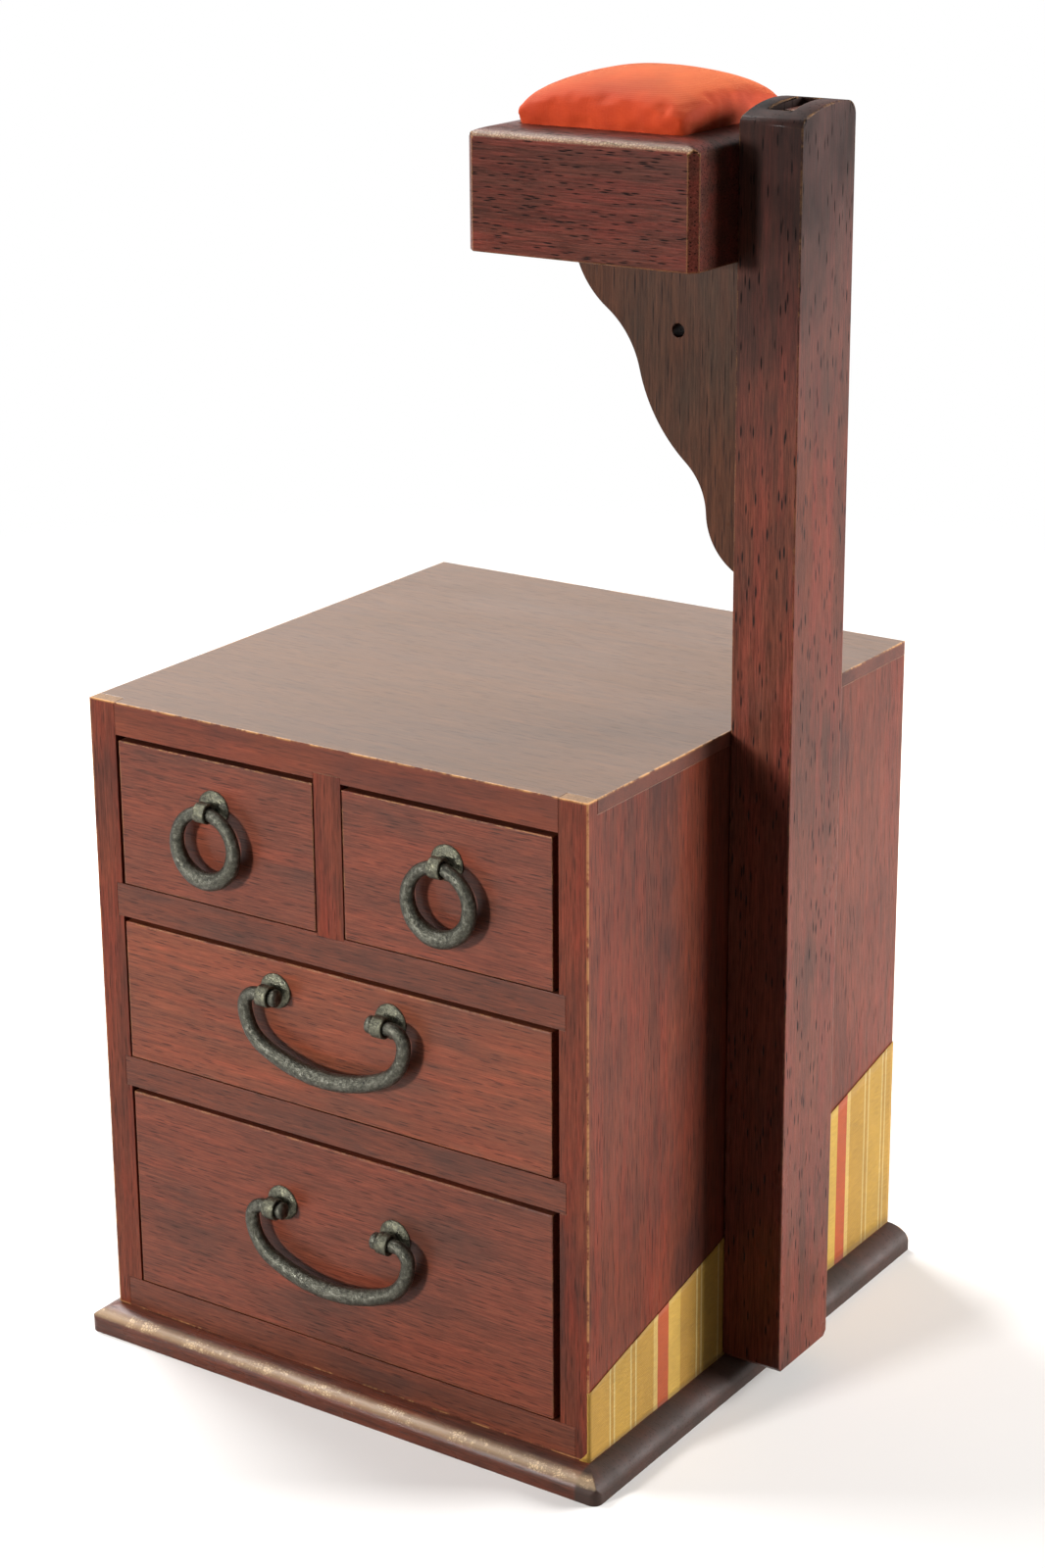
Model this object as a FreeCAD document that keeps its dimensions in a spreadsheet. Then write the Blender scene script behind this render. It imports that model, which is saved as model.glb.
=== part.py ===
"""A needlework chest: four drawers, and a post at its side that carries a pincushion on an arm.

Millimetres. X runs to the right, Y runs to the back and Z runs up. The origin is on the base board's
underside, under the middle of the chest's width and of the board's depth. The post stands at the right side.
"""
import FreeCAD, Part
import math
import os
import re

import Sketcher

X_AXIS = FreeCAD.Vector(1, 0, 0)
Y_AXIS = FreeCAD.Vector(0, 1, 0)
Z_AXIS = FreeCAD.Vector(0, 0, 1)
RING_STATIONS = 25
BAIL_ARC_STEPS = (4, 5, 3)
WAVE_ARCS = 5
CUSHION_LEVELS = 7
CUSHION_FULLNESS = 1
CROWN_ROUNDNESS = 0.85
# Share of its side draw that the cushion keeps where it sits in the block
SEATED_DRAW = 1 / 3
# Share of the ring's wire by which its straight pivot runs into the bend
PIVOT_OVERLAP = 0.25

# Driving sizes, in millimetres and degrees
SIZES = {
    # base board
    "base_thickness": 10,
    "base_overhang": 10,
    "base_left_overhang": 7,
    "base_edge_width": 9.8,
    "base_edge_height": 6.2,
    "base_corner_radius": 3.5,
    # chest, with its heights from the base upwards
    "chest_width": 220,
    "chest_depth": 227,
    "side_thickness": 12,
    "top_thickness": 12.7,
    "top_lap_thickness": 5.5,
    "stile_cap_depth": 6,
    "bottom_rail_height": 12.5,
    "large_opening": 83.2,
    "lower_rail_height": 12.1,
    "medium_opening": 57.7,
    "upper_rail_height": 13,
    "small_opening": 58.8,
    "rail_depth": 24,
    "rail_housing": 2.8,
    "bottom_rail_housing": 6.4,
    "divider_thickness": 12,
    "divider_head_housing": 2.5,
    "divider_foot_housing": 1,
    "shelf_thickness": 6,
    "shelf_housing": 4,
    "back_thickness": 6,
    "back_lap": 6,
    # nails and pins of the chest
    "base_nail_diameter": 2.5,
    "base_nail_length": 30,
    "base_nail_inset": 30,
    "back_pin_diameter": 1.6,
    "back_pin_length": 14,
    "back_pin_inset": 25,
    # striped cloth on the right side
    "cloth_thickness": 0.4,
    "cloth_front_height": 28,
    "cloth_back_height": 81,
    # drawers, with the gaps of each front in its opening
    "drawer_back_gap": 7,
    "drawer_front_thickness": 15,
    "drawer_side_thickness": 6,
    "drawer_back_thickness": 6,
    "drawer_bottom_thickness": 4,
    "drawer_lap": 8,
    "drawer_side_drop": 1,
    "drawer_top_gap": 2,
    "drawer_bottom_gap": 0.3,
    "small_left_left_gap": 1.4,
    "small_left_right_gap": 0.6,
    "small_right_left_gap": 0.6,
    "small_right_right_gap": 2.4,
    "medium_left_gap": 0.8,
    "medium_right_gap": 3,
    "large_left_gap": 0.8,
    "large_right_gap": 3,
    "drawer_pin_diameter": 1.6,
    "drawer_pin_length": 11,
    "drawer_pin_inset": 12,
    # pulls, at heights above the rail below each drawer
    "small_pull_height": 38.8,
    "medium_pull_height": 43.8,
    "large_pull_height": 53.5,
    "pull_standoff": 6,
    "plate_diameter": 14,
    "plate_edge": 0.6,
    "plate_crown": 2,
    "eye_width": 5,
    "eye_strap": 1.3,
    "eye_clearance": 0.08,
    "eye_side_gap": 0.2,
    "eye_clinch_length": 16,
    "ring_radius": 13.2,
    "ring_wire": 5,
    "ring_bottom_wire": 7,
    "ring_shoulder_gap": 0.75,
    "bail_half_span": 26,
    "bail_wire": 5.4,
    "bail_middle_wire": 6.8,
    "bail_bead_diameter": 6.6,
    "bail_bead_length": 3,
    "bail_straight": 4.5,
    "bail_corner_radius": 5.5,
    "bail_side_radius": 17,
    "bail_side_angle": 63.4,
    # post
    "post_gap": 0.5,
    "post_width": 24.5,
    "post_depth": 37,
    "post_height": 471,
    "post_front_setback": 92.7,
    "post_crown_radius": 65,
    "post_crown_setback": 23.8,
    "post_front_rounding": 3,
    "post_rear_rounding": 5.5,
    "post_foot_chamfer": 2,
    # dovetailed batten that the post slides down over
    "batten_thickness": 4,
    "batten_root_width": 12,
    "batten_face_width": 16,
    "batten_height": 70,
    "batten_length": 85,
    "batten_clearance": 0.3,
    "batten_peg_diameter": 5,
    "batten_peg_length": 14,
    "batten_peg_inset": 18,
    # measuring stick in the slot in the post's top
    "slot_wall": 6.5,
    "slot_width": 9.5,
    "slot_length": 24,
    "slot_depth": 306,
    "slot_front_wall": 7.8,
    "stick_thickness": 7,
    "stick_width": 15,
    "stick_length": 303,
    "stick_play": 0.3,
    # pincushion block and its arm
    "block_width": 93,
    "block_height": 39,
    "block_drop": 53.3,
    "block_corner_chamfer": 3,
    "block_edge_width": 13.5,
    "block_edge_height": 4.5,
    "recess_width": 66.5,
    "recess_depth": 9,
    "arm_thickness": 16,
    "arm_housing": 4,
    "arm_hole_diameter": 5,
    "arm_hole_reach": 29.5,
    "arm_hole_drop": 28.1,
    "dowel_diameter": 6,
    "dowel_length": 24,
    "dowel_inset": 18,
    # wave of the arm's edge: its turning points, out from the post and down from the block, and its radii
    "wave_reach_0": 73.2,
    "wave_reach_1": 59.2,
    "wave_reach_2": 45.4,
    "wave_reach_3": 26,
    "wave_reach_4": 17.5,
    "wave_drop_1": 22.8,
    "wave_drop_2": 43.4,
    "wave_drop_3": 75.1,
    "wave_drop_4": 92.6,
    "wave_drop_5": 114.7,
    "wave_radius_1": 34.7,
    "wave_radius_2": 35.6,
    "wave_radius_3": 59.8,
    "wave_radius_4": 24.5,
    "wave_radius_5": 24.1,
    # stuffed pincushion
    "cushion_clearance": 0.3,
    "cushion_bulge": 1.6,
    "cushion_bulge_height": 2.6,
    "cushion_corner_height": 5,
    "cushion_height": 17.6,
    "cushion_corner_radius": 2.5,
    "cushion_side_draw": 1.2,
}

# Places that follow from the sizes
PLACES = {
    "outer_x": "chest_width / 2",
    "inner_x": "outer_x - side_thickness",
    "front_y": "(base_overhang - chest_depth) / 2",
    "back_y": "(base_overhang + chest_depth) / 2",
    "shelf_y": "front_y + rail_depth",
    "panel_y": "back_y - back_thickness",
    "drawer_length": "chest_depth - back_thickness - drawer_back_gap",
    "pivot_y": "front_y - pull_standoff",
    "large_bottom": "base_thickness + bottom_rail_height",
    "large_top": "large_bottom + large_opening",
    "medium_bottom": "large_top + lower_rail_height",
    "medium_top": "medium_bottom + medium_opening",
    "small_bottom": "medium_top + upper_rail_height",
    "small_top": "small_bottom + small_opening",
    "chest_top": "small_top + top_thickness",
    "divider_x": "divider_thickness / 2",
    "post_x": "outer_x + post_gap",
    "post_front_y": "front_y + post_front_setback",
    "post_y": "post_front_y + post_depth / 2",
    "post_top": "base_thickness + post_height",
    "slot_x": "post_x + slot_wall",
    "slot_y": "post_front_y + slot_front_wall",
    "block_x": "post_x - block_width / 2",
    "block_z": "post_top - block_drop",
    "seat_z": "block_z + block_height + block_edge_height",
}

# Each drawer's opening: left, right, bottom and top
OPENINGS = {
    "small_left": ("-inner_x", "-divider_x", "small_bottom", "small_top"),
    "small_right": ("divider_x", "inner_x", "small_bottom", "small_top"),
    "medium": ("-inner_x", "inner_x", "medium_bottom", "medium_top"),
    "large": ("-inner_x", "inner_x", "large_bottom", "large_top"),
}


def formula(text):
    """Turns the names of sizes and places in a formula into cells of the sheet."""
    def cell(match):
        word = match.group(0)
        if word in PLACES:
            return "(" + formula(PLACES[word]) + ")"
        return "Sizes." + word if word in SIZES else word
    return re.sub(r"[a-z][a-z_0-9]*", cell, str(text))


def value(text):
    """The number, in millimetres or degrees, that a formula gives."""
    return float(sheet.evalExpression(formula(text)))


def bind(item, settings):
    """Ties properties of an object to formulas."""
    for name, text in settings.items():
        item.setExpression(name, formula(text))
    return item


def place(item, x=0, y=0, z=0, rotation=None):
    """Puts an object at a place given by formulas, turned by a fixed rotation."""
    if rotation is not None:
        item.Placement = FreeCAD.Placement(FreeCAD.Vector(), rotation)
    return bind(item, {"Placement.Base.x": x, "Placement.Base.y": y, "Placement.Base.z": z})


def box(name, x, y, z, length, width, height):
    """A squared piece from its low corner and its sizes along X, Y and Z."""
    item = document.addObject("Part::Box", name)
    bind(item, {"Length": length, "Width": width, "Height": height})
    return place(item, x, y, z)


def rod(name, axis, x, y, z, diameter, length):
    """A round bar from its start along an axis."""
    item = document.addObject("Part::Cylinder", name)
    bind(item, {"Radius": f"({diameter}) / 2", "Height": length})
    return place(item, x, y, z, FreeCAD.Rotation(Z_AXIS, axis))


def wedge(name, root, face, thickness, length, x, y, z):
    """An upright dovetail: its narrow root faces the chest and its wide face looks along X."""
    item = document.addObject("Part::Wedge", name)
    bind(item, {
        "Xmin": f"-({root}) / 2",
        "Xmax": f"({root}) / 2",
        "X2min": f"-({face}) / 2",
        "X2max": f"({face}) / 2",
        "Ymin": 0,
        "Ymax": thickness,
        "Zmin": 0,
        "Zmax": length,
        "Z2min": 0,
        "Z2max": length,
    })
    return place(item, x, y, z, FreeCAD.Rotation(Z_AXIS, -90))


def join(name, kind, *pieces):
    """Several solids as one, by a MultiFuse or a MultiCommon."""
    item = document.addObject(kind, name)
    item.Shapes = list(pieces)
    return item


def cut(name, base, *tools):
    """A piece with other pieces, or the room for them, taken out of it."""
    item = document.addObject("Part::Cut", name)
    item.Base = base
    item.Tool = tools[0] if len(tools) == 1 else join(name + "_room", "Part::MultiFuse", *tools)
    return item


def group(name, *pieces):
    """Identical pieces that share one node, each still a solid of its own."""
    item = document.addObject("Part::Compound", name)
    item.Links = list(pieces)
    return item


def eased_edge(name, run, width, height, x, y, z, turn):
    """What comes off a squared top edge to leave an elliptic round; the edge faces -Y before its turn."""
    square = box(name + "_square", f"-({run}) / 2", 0, f"-({height})", run, width, height)
    ellipse = document.addObject("Part::Ellipse", name + "_ellipse")
    bind(ellipse, {"MajorRadius": width, "MinorRadius": height})
    place(ellipse, f"-({run}) / 2", width, f"-({height})", FreeCAD.Rotation(FreeCAD.Vector(1, 1, 1), 120))
    round_bar = document.addObject("Part::Extrusion", name + "_round")
    round_bar.Base = ellipse
    round_bar.DirMode = "Custom"
    round_bar.Dir = X_AXIS
    round_bar.Solid = True
    bind(round_bar, {"LengthFwd": run})
    return place(cut(name, square, round_bar), x, y, z, FreeCAD.Rotation(Z_AXIS, turn))


def sketch_on(body, name, role):
    """A sketch on one of a body's own origin planes."""
    sketch = body.newObject("Sketcher::SketchObject", name)
    plane = [item for item in body.Origin.OriginFeatures if item.Role == role][0]
    sketch.AttachmentSupport = (plane, [""])
    sketch.MapMode = "FlatFace"
    return sketch


def dimension(sketch, label, text, kind, *where):
    """Adds a named dimension to a sketch and ties it to a formula."""
    index = sketch.addConstraint(Sketcher.Constraint(kind, *where, value(text)))
    sketch.renameConstraint(index, label)
    sketch.setExpression(f"Constraints.{label}", formula(text))


def hold_point(sketch, label, edge, end, across, up):
    """Holds an end, or the centre, of a sketch edge at a distance from the sketch's origin."""
    dimension(sketch, label + "_across", across, "DistanceX", -1, 1, edge, end)
    dimension(sketch, label + "_up", up, "DistanceY", -1, 1, edge, end)


def flat_point(across, up):
    """A sketch point from two formulas."""
    return FreeCAD.Vector(value(across), value(up), 0)


def arc_between(start, end, radius, turns_left):
    """The shorter arc from a start to an end point, which bends to the left or to the right on its way."""
    chord = end - start
    rise = math.sqrt(radius ** 2 - (chord.Length / 2) ** 2)
    left = FreeCAD.Vector(-chord.y, chord.x, 0).normalize()
    centre = (start + end) / 2 + left * (rise if turns_left else -rise)
    first, last = (start, end) if turns_left else (end, start)
    angles = [math.atan2(point.y - centre.y, point.x - centre.x) for point in (first, last)]
    return Part.ArcOfCircle(Part.Circle(centre, Z_AXIS, radius), angles[0], angles[1])


def tapered_rod(stations):
    """A bent round bar through stations, each a centre, a direction and a diameter."""
    rings = [Part.Wire([Part.Circle(centre, direction, diameter / 2).toShape()])
             for centre, direction, diameter in stations]
    return Part.makeLoft(rings, True)


def straight_bar(start_x, end_x, diameter):
    """A round bar along X."""
    return Part.makeCylinder(diameter / 2, end_x - start_x, FreeCAD.Vector(start_x, 0, 0), X_AXIS)


def keep(label, item):
    """Makes an object one of the model's pieces, under the label that names its file."""
    item.Label = label
    pieces.append(item)
    return item


def make_chest():
    """The case on its base board: sides, top, rails, divider, shelves and back, with their nails and pins."""
    rails = []
    for name, low, height, housing in (
        ("bottom_rail", "base_thickness", "bottom_rail_height", "bottom_rail_housing"),
        ("lower_rail", "large_top", "lower_rail_height", "rail_housing"),
        ("upper_rail", "medium_top", "upper_rail_height", "rail_housing"),
    ):
        reach = f"(inner_x + {housing})"
        rails.append(box(name + "_blank", f"-{reach}", "front_y", low, f"2 * {reach}", "rail_depth", height))

    shelves = []
    for name, top in (
        ("floor_board", "large_bottom"),
        ("lower_shelf", "medium_bottom"),
        ("upper_shelf", "small_bottom"),
    ):
        reach = "(inner_x + shelf_housing)"
        shelves.append(box(
            name + "_blank", f"-{reach}", "shelf_y", f"{top} - shelf_thickness",
            f"2 * {reach}", "panel_y - shelf_y", "shelf_thickness",
        ))

    divider = box(
        "divider_blank", "-divider_x", "front_y", "small_bottom - divider_foot_housing",
        "divider_thickness", "panel_y - front_y",
        "small_opening + divider_foot_housing + divider_head_housing",
    )
    back_reach = "(inner_x + back_lap)"
    back = box(
        "back_blank", f"-{back_reach}", "panel_y", "base_thickness",
        f"2 * {back_reach}", "back_thickness", "chest_top - back_lap - base_thickness",
    )
    back_pins = make_back_pins()
    base_nails = make_base_nails()
    pegs = make_batten()

    sides = []
    for name, low_x, pins in (("left_side", "-outer_x", ()), ("right_side", "inner_x", (pegs,))):
        blank = box(
            name + "_blank", low_x, "front_y", "base_thickness",
            "side_thickness", "chest_depth", "chest_top - base_thickness",
        )
        lap = box(
            name + "_lap", low_x, "front_y + stile_cap_depth", "chest_top - top_lap_thickness",
            "side_thickness", "chest_depth", "top_lap_thickness",
        )
        side = cut(name + "_jointed", blank, lap, *rails, *shelves, back, back_pins, base_nails, *pins)
        sides.append(keep(name, side))

    top_blank = box(
        "top_blank", "-outer_x", "front_y", "small_top", "chest_width", "chest_depth", "top_thickness",
    )
    keep("top_board", cut("top_jointed", top_blank, *sides, divider, back))
    keep("bottom_rail", rails[0])
    keep("lower_rail", rails[1])
    keep("upper_rail", cut("upper_rail_jointed", rails[2], divider))
    keep("floor_board", shelves[0])
    keep("lower_shelf", shelves[1])
    keep("upper_shelf", cut("upper_shelf_jointed", shelves[2], divider))
    keep("drawer_divider", divider)
    keep("back_panel", cut("back_jointed", back, back_pins))
    make_base_board(base_nails)


def make_back_pins():
    """Pins that hold the back panel in the rebates of the two sides."""
    pins = []
    for side in (-1, 1):
        for height in (
            "base_thickness + back_pin_inset",
            "(base_thickness + chest_top) / 2",
            "chest_top - back_pin_inset",
        ):
            pins.append(rod(
                f"back_pin_{len(pins)}", -Y_AXIS, f"{side} * (inner_x + back_lap / 2)", "back_y", height,
                "back_pin_diameter", "back_pin_length",
            ))
    return keep("back_pins", group("back_pin_group", *pins))


def make_base_nails():
    """Nails that come up through the base board into the two sides."""
    nails = []
    for side in (-1, 1):
        for along in ("front_y + base_nail_inset", "(front_y + back_y) / 2", "back_y - base_nail_inset"):
            nails.append(rod(
                f"base_nail_{len(nails)}", Z_AXIS, f"{side} * (outer_x - side_thickness / 2)", along, 0,
                "base_nail_diameter", "base_nail_length",
            ))
    return keep("base_nails", group("base_nail_group", *nails))


def make_base_board(base_nails):
    """The board under the chest, with eased edges and rounded corners at the front and both ends."""
    left_x = "(0 - outer_x - base_left_overhang)"
    right_x = "(outer_x + base_overhang)"
    base_y = "(front_y - base_overhang)"
    width = f"({right_x} - {left_x})"
    depth = f"(back_y - {base_y})"
    radius = "base_corner_radius"
    blank = box("base_blank", left_x, base_y, 0, width, depth, "base_thickness")
    edge = ("base_edge_width", "base_edge_height")
    tools = [
        eased_edge("base_front_edge", width, *edge, f"{left_x} + {width} / 2", base_y, "base_thickness", 0),
        eased_edge("base_right_edge", depth, *edge, right_x, f"{base_y} + {depth} / 2", "base_thickness", 90),
        eased_edge("base_left_edge", depth, *edge, left_x, f"{base_y} + {depth} / 2", "base_thickness", -90),
    ]
    for name, low_x, middle_x in (
        ("left", left_x, f"{left_x} + {radius}"),
        ("right", f"{right_x} - {radius}", f"{right_x} - {radius}"),
    ):
        square = box(f"base_{name}_corner_square", low_x, base_y, 0, radius, radius, "base_thickness")
        bar = rod(
            f"base_{name}_corner_bar", Z_AXIS, middle_x, f"{base_y} + {radius}", 0,
            f"2 * {radius}", "base_thickness",
        )
        tools.append(cut(f"base_{name}_corner", square, bar))
    keep("base_board", cut("base_shaped", blank, *tools, base_nails))


def make_batten():
    """The dovetailed batten on the right side that the post slides down over, and the pegs that hold it."""
    blank = wedge(
        "batten_blank", "batten_root_width", "batten_face_width", "batten_thickness", "batten_length",
        "outer_x", "post_y", "base_thickness + batten_height",
    )
    pegs = []
    for height in ("batten_peg_inset", "batten_length - batten_peg_inset"):
        pegs.append(rod(
            f"batten_peg_{len(pegs)}", -X_AXIS, "outer_x + batten_thickness", "post_y",
            f"base_thickness + batten_height + {height}", "batten_peg_diameter", "batten_peg_length",
        ))
    pegs = keep("batten_pegs", group("batten_peg_group", *pegs))
    keep("post_batten", cut("batten_pegged", blank, pegs))
    return pegs


def make_cloth():
    """The striped cloth glued over the low part of the right side, cut on a slant."""
    cloth = document.addObject("Part::Wedge", "cloth_piece")
    bind(cloth, {
        "Xmin": 0,
        "Xmax": "cloth_thickness",
        "X2min": 0,
        "X2max": "cloth_thickness",
        "Ymin": 0,
        "Ymax": "chest_depth",
        "Zmin": 0,
        "Zmax": "cloth_front_height",
        "Z2min": 0,
        "Z2max": "cloth_back_height",
    })
    keep("side_cloth", place(cloth, "outer_x", "front_y", "base_thickness"))


def make_drawer(drawer, eyes):
    """One drawer as a lapped and pinned box, whose front is bored for the eyes of its pull."""
    opening_left, opening_right, opening_bottom, opening_top = OPENINGS[drawer]
    left = f"({opening_left} + {drawer}_left_gap)"
    right = f"({opening_right} - {drawer}_right_gap)"
    low = f"({opening_bottom} + drawer_bottom_gap)"
    high = f"({opening_top} - drawer_top_gap)"
    lap_y = "(front_y + drawer_front_thickness - drawer_lap)"
    end_y = "(front_y + drawer_length)"
    side_low = f"({low} + drawer_bottom_thickness)"
    side_height = f"({high} - drawer_side_drop - {side_low})"
    prefix = f"{drawer}_drawer"

    pins = []
    for side, start_x in ((1, left), (-1, right)):
        for along in (f"{lap_y} + drawer_lap / 2", f"{end_y} - drawer_back_thickness / 2"):
            for height in (f"{side_low} + drawer_pin_inset", f"{high} - drawer_side_drop - drawer_pin_inset"):
                pins.append(rod(
                    f"{prefix}_pin_{len(pins)}", side * X_AXIS, start_x, along, height,
                    "drawer_pin_diameter", "drawer_pin_length",
                ))
    pins = keep(f"{prefix}_pins", group(f"{prefix}_pin_group", *pins))

    bottom = box(
        f"{prefix}_bottom_board", left, lap_y, low,
        f"{right} - {left}", f"{end_y} - {lap_y}", "drawer_bottom_thickness",
    )
    keep(f"{prefix}_bottom", bottom)
    sides = []
    for name, low_x in (("left_side", left), ("right_side", f"{right} - drawer_side_thickness")):
        blank = box(
            f"{prefix}_{name}_blank", low_x, lap_y, side_low,
            "drawer_side_thickness", f"{end_y} - {lap_y}", side_height,
        )
        sides.append(keep(f"{prefix}_{name}", cut(f"{prefix}_{name}_pinned", blank, pins)))
    back = box(
        f"{prefix}_back_blank",
        f"{left} + drawer_side_thickness", f"{end_y} - drawer_back_thickness", side_low,
        f"{right} - {left} - 2 * drawer_side_thickness", "drawer_back_thickness", side_height,
    )
    keep(f"{prefix}_back", cut(f"{prefix}_back_pinned", back, pins))
    front = box(
        f"{prefix}_front_blank", left, "front_y", low,
        f"{right} - {left}", "drawer_front_thickness", f"{high} - {low}",
    )
    keep(f"{prefix}_front", cut(f"{prefix}_front_jointed", front, *sides, bottom, pins, *eyes))


def make_eye(name, x, z, wire):
    """A split pin bent round a pull's pivot: its legs go through the drawer front and are clinched inside."""
    bore = f"({wire} + 2 * eye_clearance)"
    start_x = f"{x} - eye_width / 2"
    loop = rod(name + "_loop", X_AXIS, start_x, "pivot_y", z, f"{bore} + 2 * eye_strap", "eye_width")
    leg_depth = "(pull_standoff + drawer_front_thickness)"
    legs = box(
        name + "_legs", start_x, "pivot_y", f"{z} - eye_strap", "eye_width", leg_depth, "2 * eye_strap",
    )
    clinch = box(
        name + "_clinch", start_x, f"pivot_y + {leg_depth}", f"{z} - eye_clinch_length / 2",
        "eye_width", "eye_strap", "eye_clinch_length",
    )
    strap = join(name + "_strap", "Part::MultiFuse", loop, legs, clinch)
    return cut(name + "_bored", strap, rod(name + "_bore", X_AXIS, start_x, "pivot_y", z, bore, "eye_width"))


def make_plate(name, x, z, eye):
    """A round domed plate between an eye and the drawer front, slotted for the eye's legs."""
    dome_rise = "(plate_crown - plate_edge)"
    dome_radius = f"(((plate_diameter / 2) ^ 2 + {dome_rise} ^ 2) / (2 * {dome_rise}))"
    disc = rod(name + "_disc", -Y_AXIS, x, "front_y", z, "plate_diameter", "plate_crown")
    ball = document.addObject("Part::Sphere", name + "_ball")
    bind(ball, {"Radius": dome_radius})
    place(ball, x, f"front_y - plate_crown + {dome_radius}", z)
    return cut(name + "_slotted", join(name + "_dome", "Part::MultiCommon", disc, ball), eye)


def make_ring_pull(drawer):
    """A ring in one eye, on a small drawer: the eyes that pass through the drawer's front."""
    left, right, bottom, _ = OPENINGS[drawer]
    middle = f"(({left} + {right}) / 2)"
    height = f"({bottom} + small_pull_height)"
    name = f"{drawer}_ring"
    eye = keep(f"{name}_eye", make_eye(name + "_pin", middle, height, "ring_wire"))
    keep(f"{name}_plate", make_plate(name + "_backing", middle, height, eye))

    radius = value("ring_radius")
    wire = value("ring_wire")
    swell = value("ring_bottom_wire") - wire
    shoulder = value("eye_width / 2 + ring_shoulder_gap")
    first = math.asin(shoulder / radius)
    stations = []
    for step in range(RING_STATIONS):
        angle = first + (2 * math.pi - 2 * first) * step / (RING_STATIONS - 1)
        centre = FreeCAD.Vector(radius * math.sin(angle), 0, radius * (math.cos(angle) - 1))
        direction = FreeCAD.Vector(math.cos(angle), 0, -math.sin(angle))
        lowness = (1 - math.cos(angle)) / 2
        stations.append((centre, direction, wire + swell * lowness ** 2))
    reach = shoulder + wire * PIVOT_OVERLAP
    pivot = straight_bar(-reach, reach, wire)
    ring = document.addObject("Part::Feature", name + "_bent")
    ring.Shape = tapered_rod(stations).fuse(pivot)
    keep(name, place(ring, middle, "pivot_y", height))
    return [eye]


def bail_stations():
    """Stations of a bail's bent part, from its left bend round to its right bend."""
    start_x = value("bail_half_span + bail_straight")
    corner = value("bail_corner_radius")
    side = value("bail_side_radius")
    side_angle = math.radians(value("bail_side_angle"))
    side_x = start_x + corner - side
    foot_x = side_x + side * math.cos(side_angle)
    foot_z = -corner - side * math.sin(side_angle)
    sweep = foot_x / math.cos(side_angle)
    arcs = (
        (start_x, -corner, corner, math.pi / 2, 0),
        (side_x, -corner, side, 0, -side_angle),
        (0, foot_z + sweep * math.sin(side_angle), sweep, -side_angle, -math.pi / 2),
    )
    lowest = arcs[2][1] - sweep
    half = []
    for (centre_x, centre_z, radius, begin, end), steps in zip(arcs, BAIL_ARC_STEPS):
        for step in range(steps):
            angle = begin + (end - begin) * step / steps
            half.append((centre_x + radius * math.cos(angle), centre_z + radius * math.sin(angle), angle))
    wire = value("bail_wire")
    swell = value("bail_middle_wire") - wire
    left_half = [(-x, z, math.pi - angle) for x, z, angle in half]
    stations = []
    for x, z, angle in left_half + [(0, lowest, -math.pi / 2)] + half[::-1]:
        direction = FreeCAD.Vector(-math.sin(angle), 0, math.cos(angle))
        stations.append((FreeCAD.Vector(x, 0, z), direction, wire + swell * (z / lowest) ** 2))
    return stations


def make_bail_pull(drawer):
    """A bail in two eyes, on a wide drawer: the eyes that pass through the drawer's front."""
    bottom = OPENINGS[drawer][2]
    height = f"({bottom} + {drawer}_pull_height)"
    name = f"{drawer}_bail"
    eyes = []
    plates = []
    for side in (-1, 1):
        x = f"({side} * bail_half_span)"
        eyes.append(make_eye(f"{name}_pin_{len(eyes)}", x, height, "bail_wire"))
        plates.append(make_plate(f"{name}_backing_{len(plates)}", x, height, eyes[-1]))
    keep(f"{name}_eyes", group(name + "_eye_pair", *eyes))
    keep(f"{name}_plates", group(name + "_plate_pair", *plates))

    shape = tapered_rod(bail_stations())
    bead_end = value("bail_half_span - eye_width / 2 - eye_side_gap")
    bead_start = bead_end - value("bail_bead_length")
    bend = value("bail_half_span + bail_straight")
    wire = value("bail_wire")
    bead = value("bail_bead_diameter")
    for near, far, diameter in ((bead_start, bend, wire), (bead_start, bead_end, bead)):
        shape = shape.fuse([straight_bar(near, far, diameter), straight_bar(-far, -near, diameter)])
    bail = document.addObject("Part::Feature", name + "_bent")
    bail.Shape = shape
    keep(name, place(bail, 0, "pivot_y", height))
    return eyes


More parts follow.
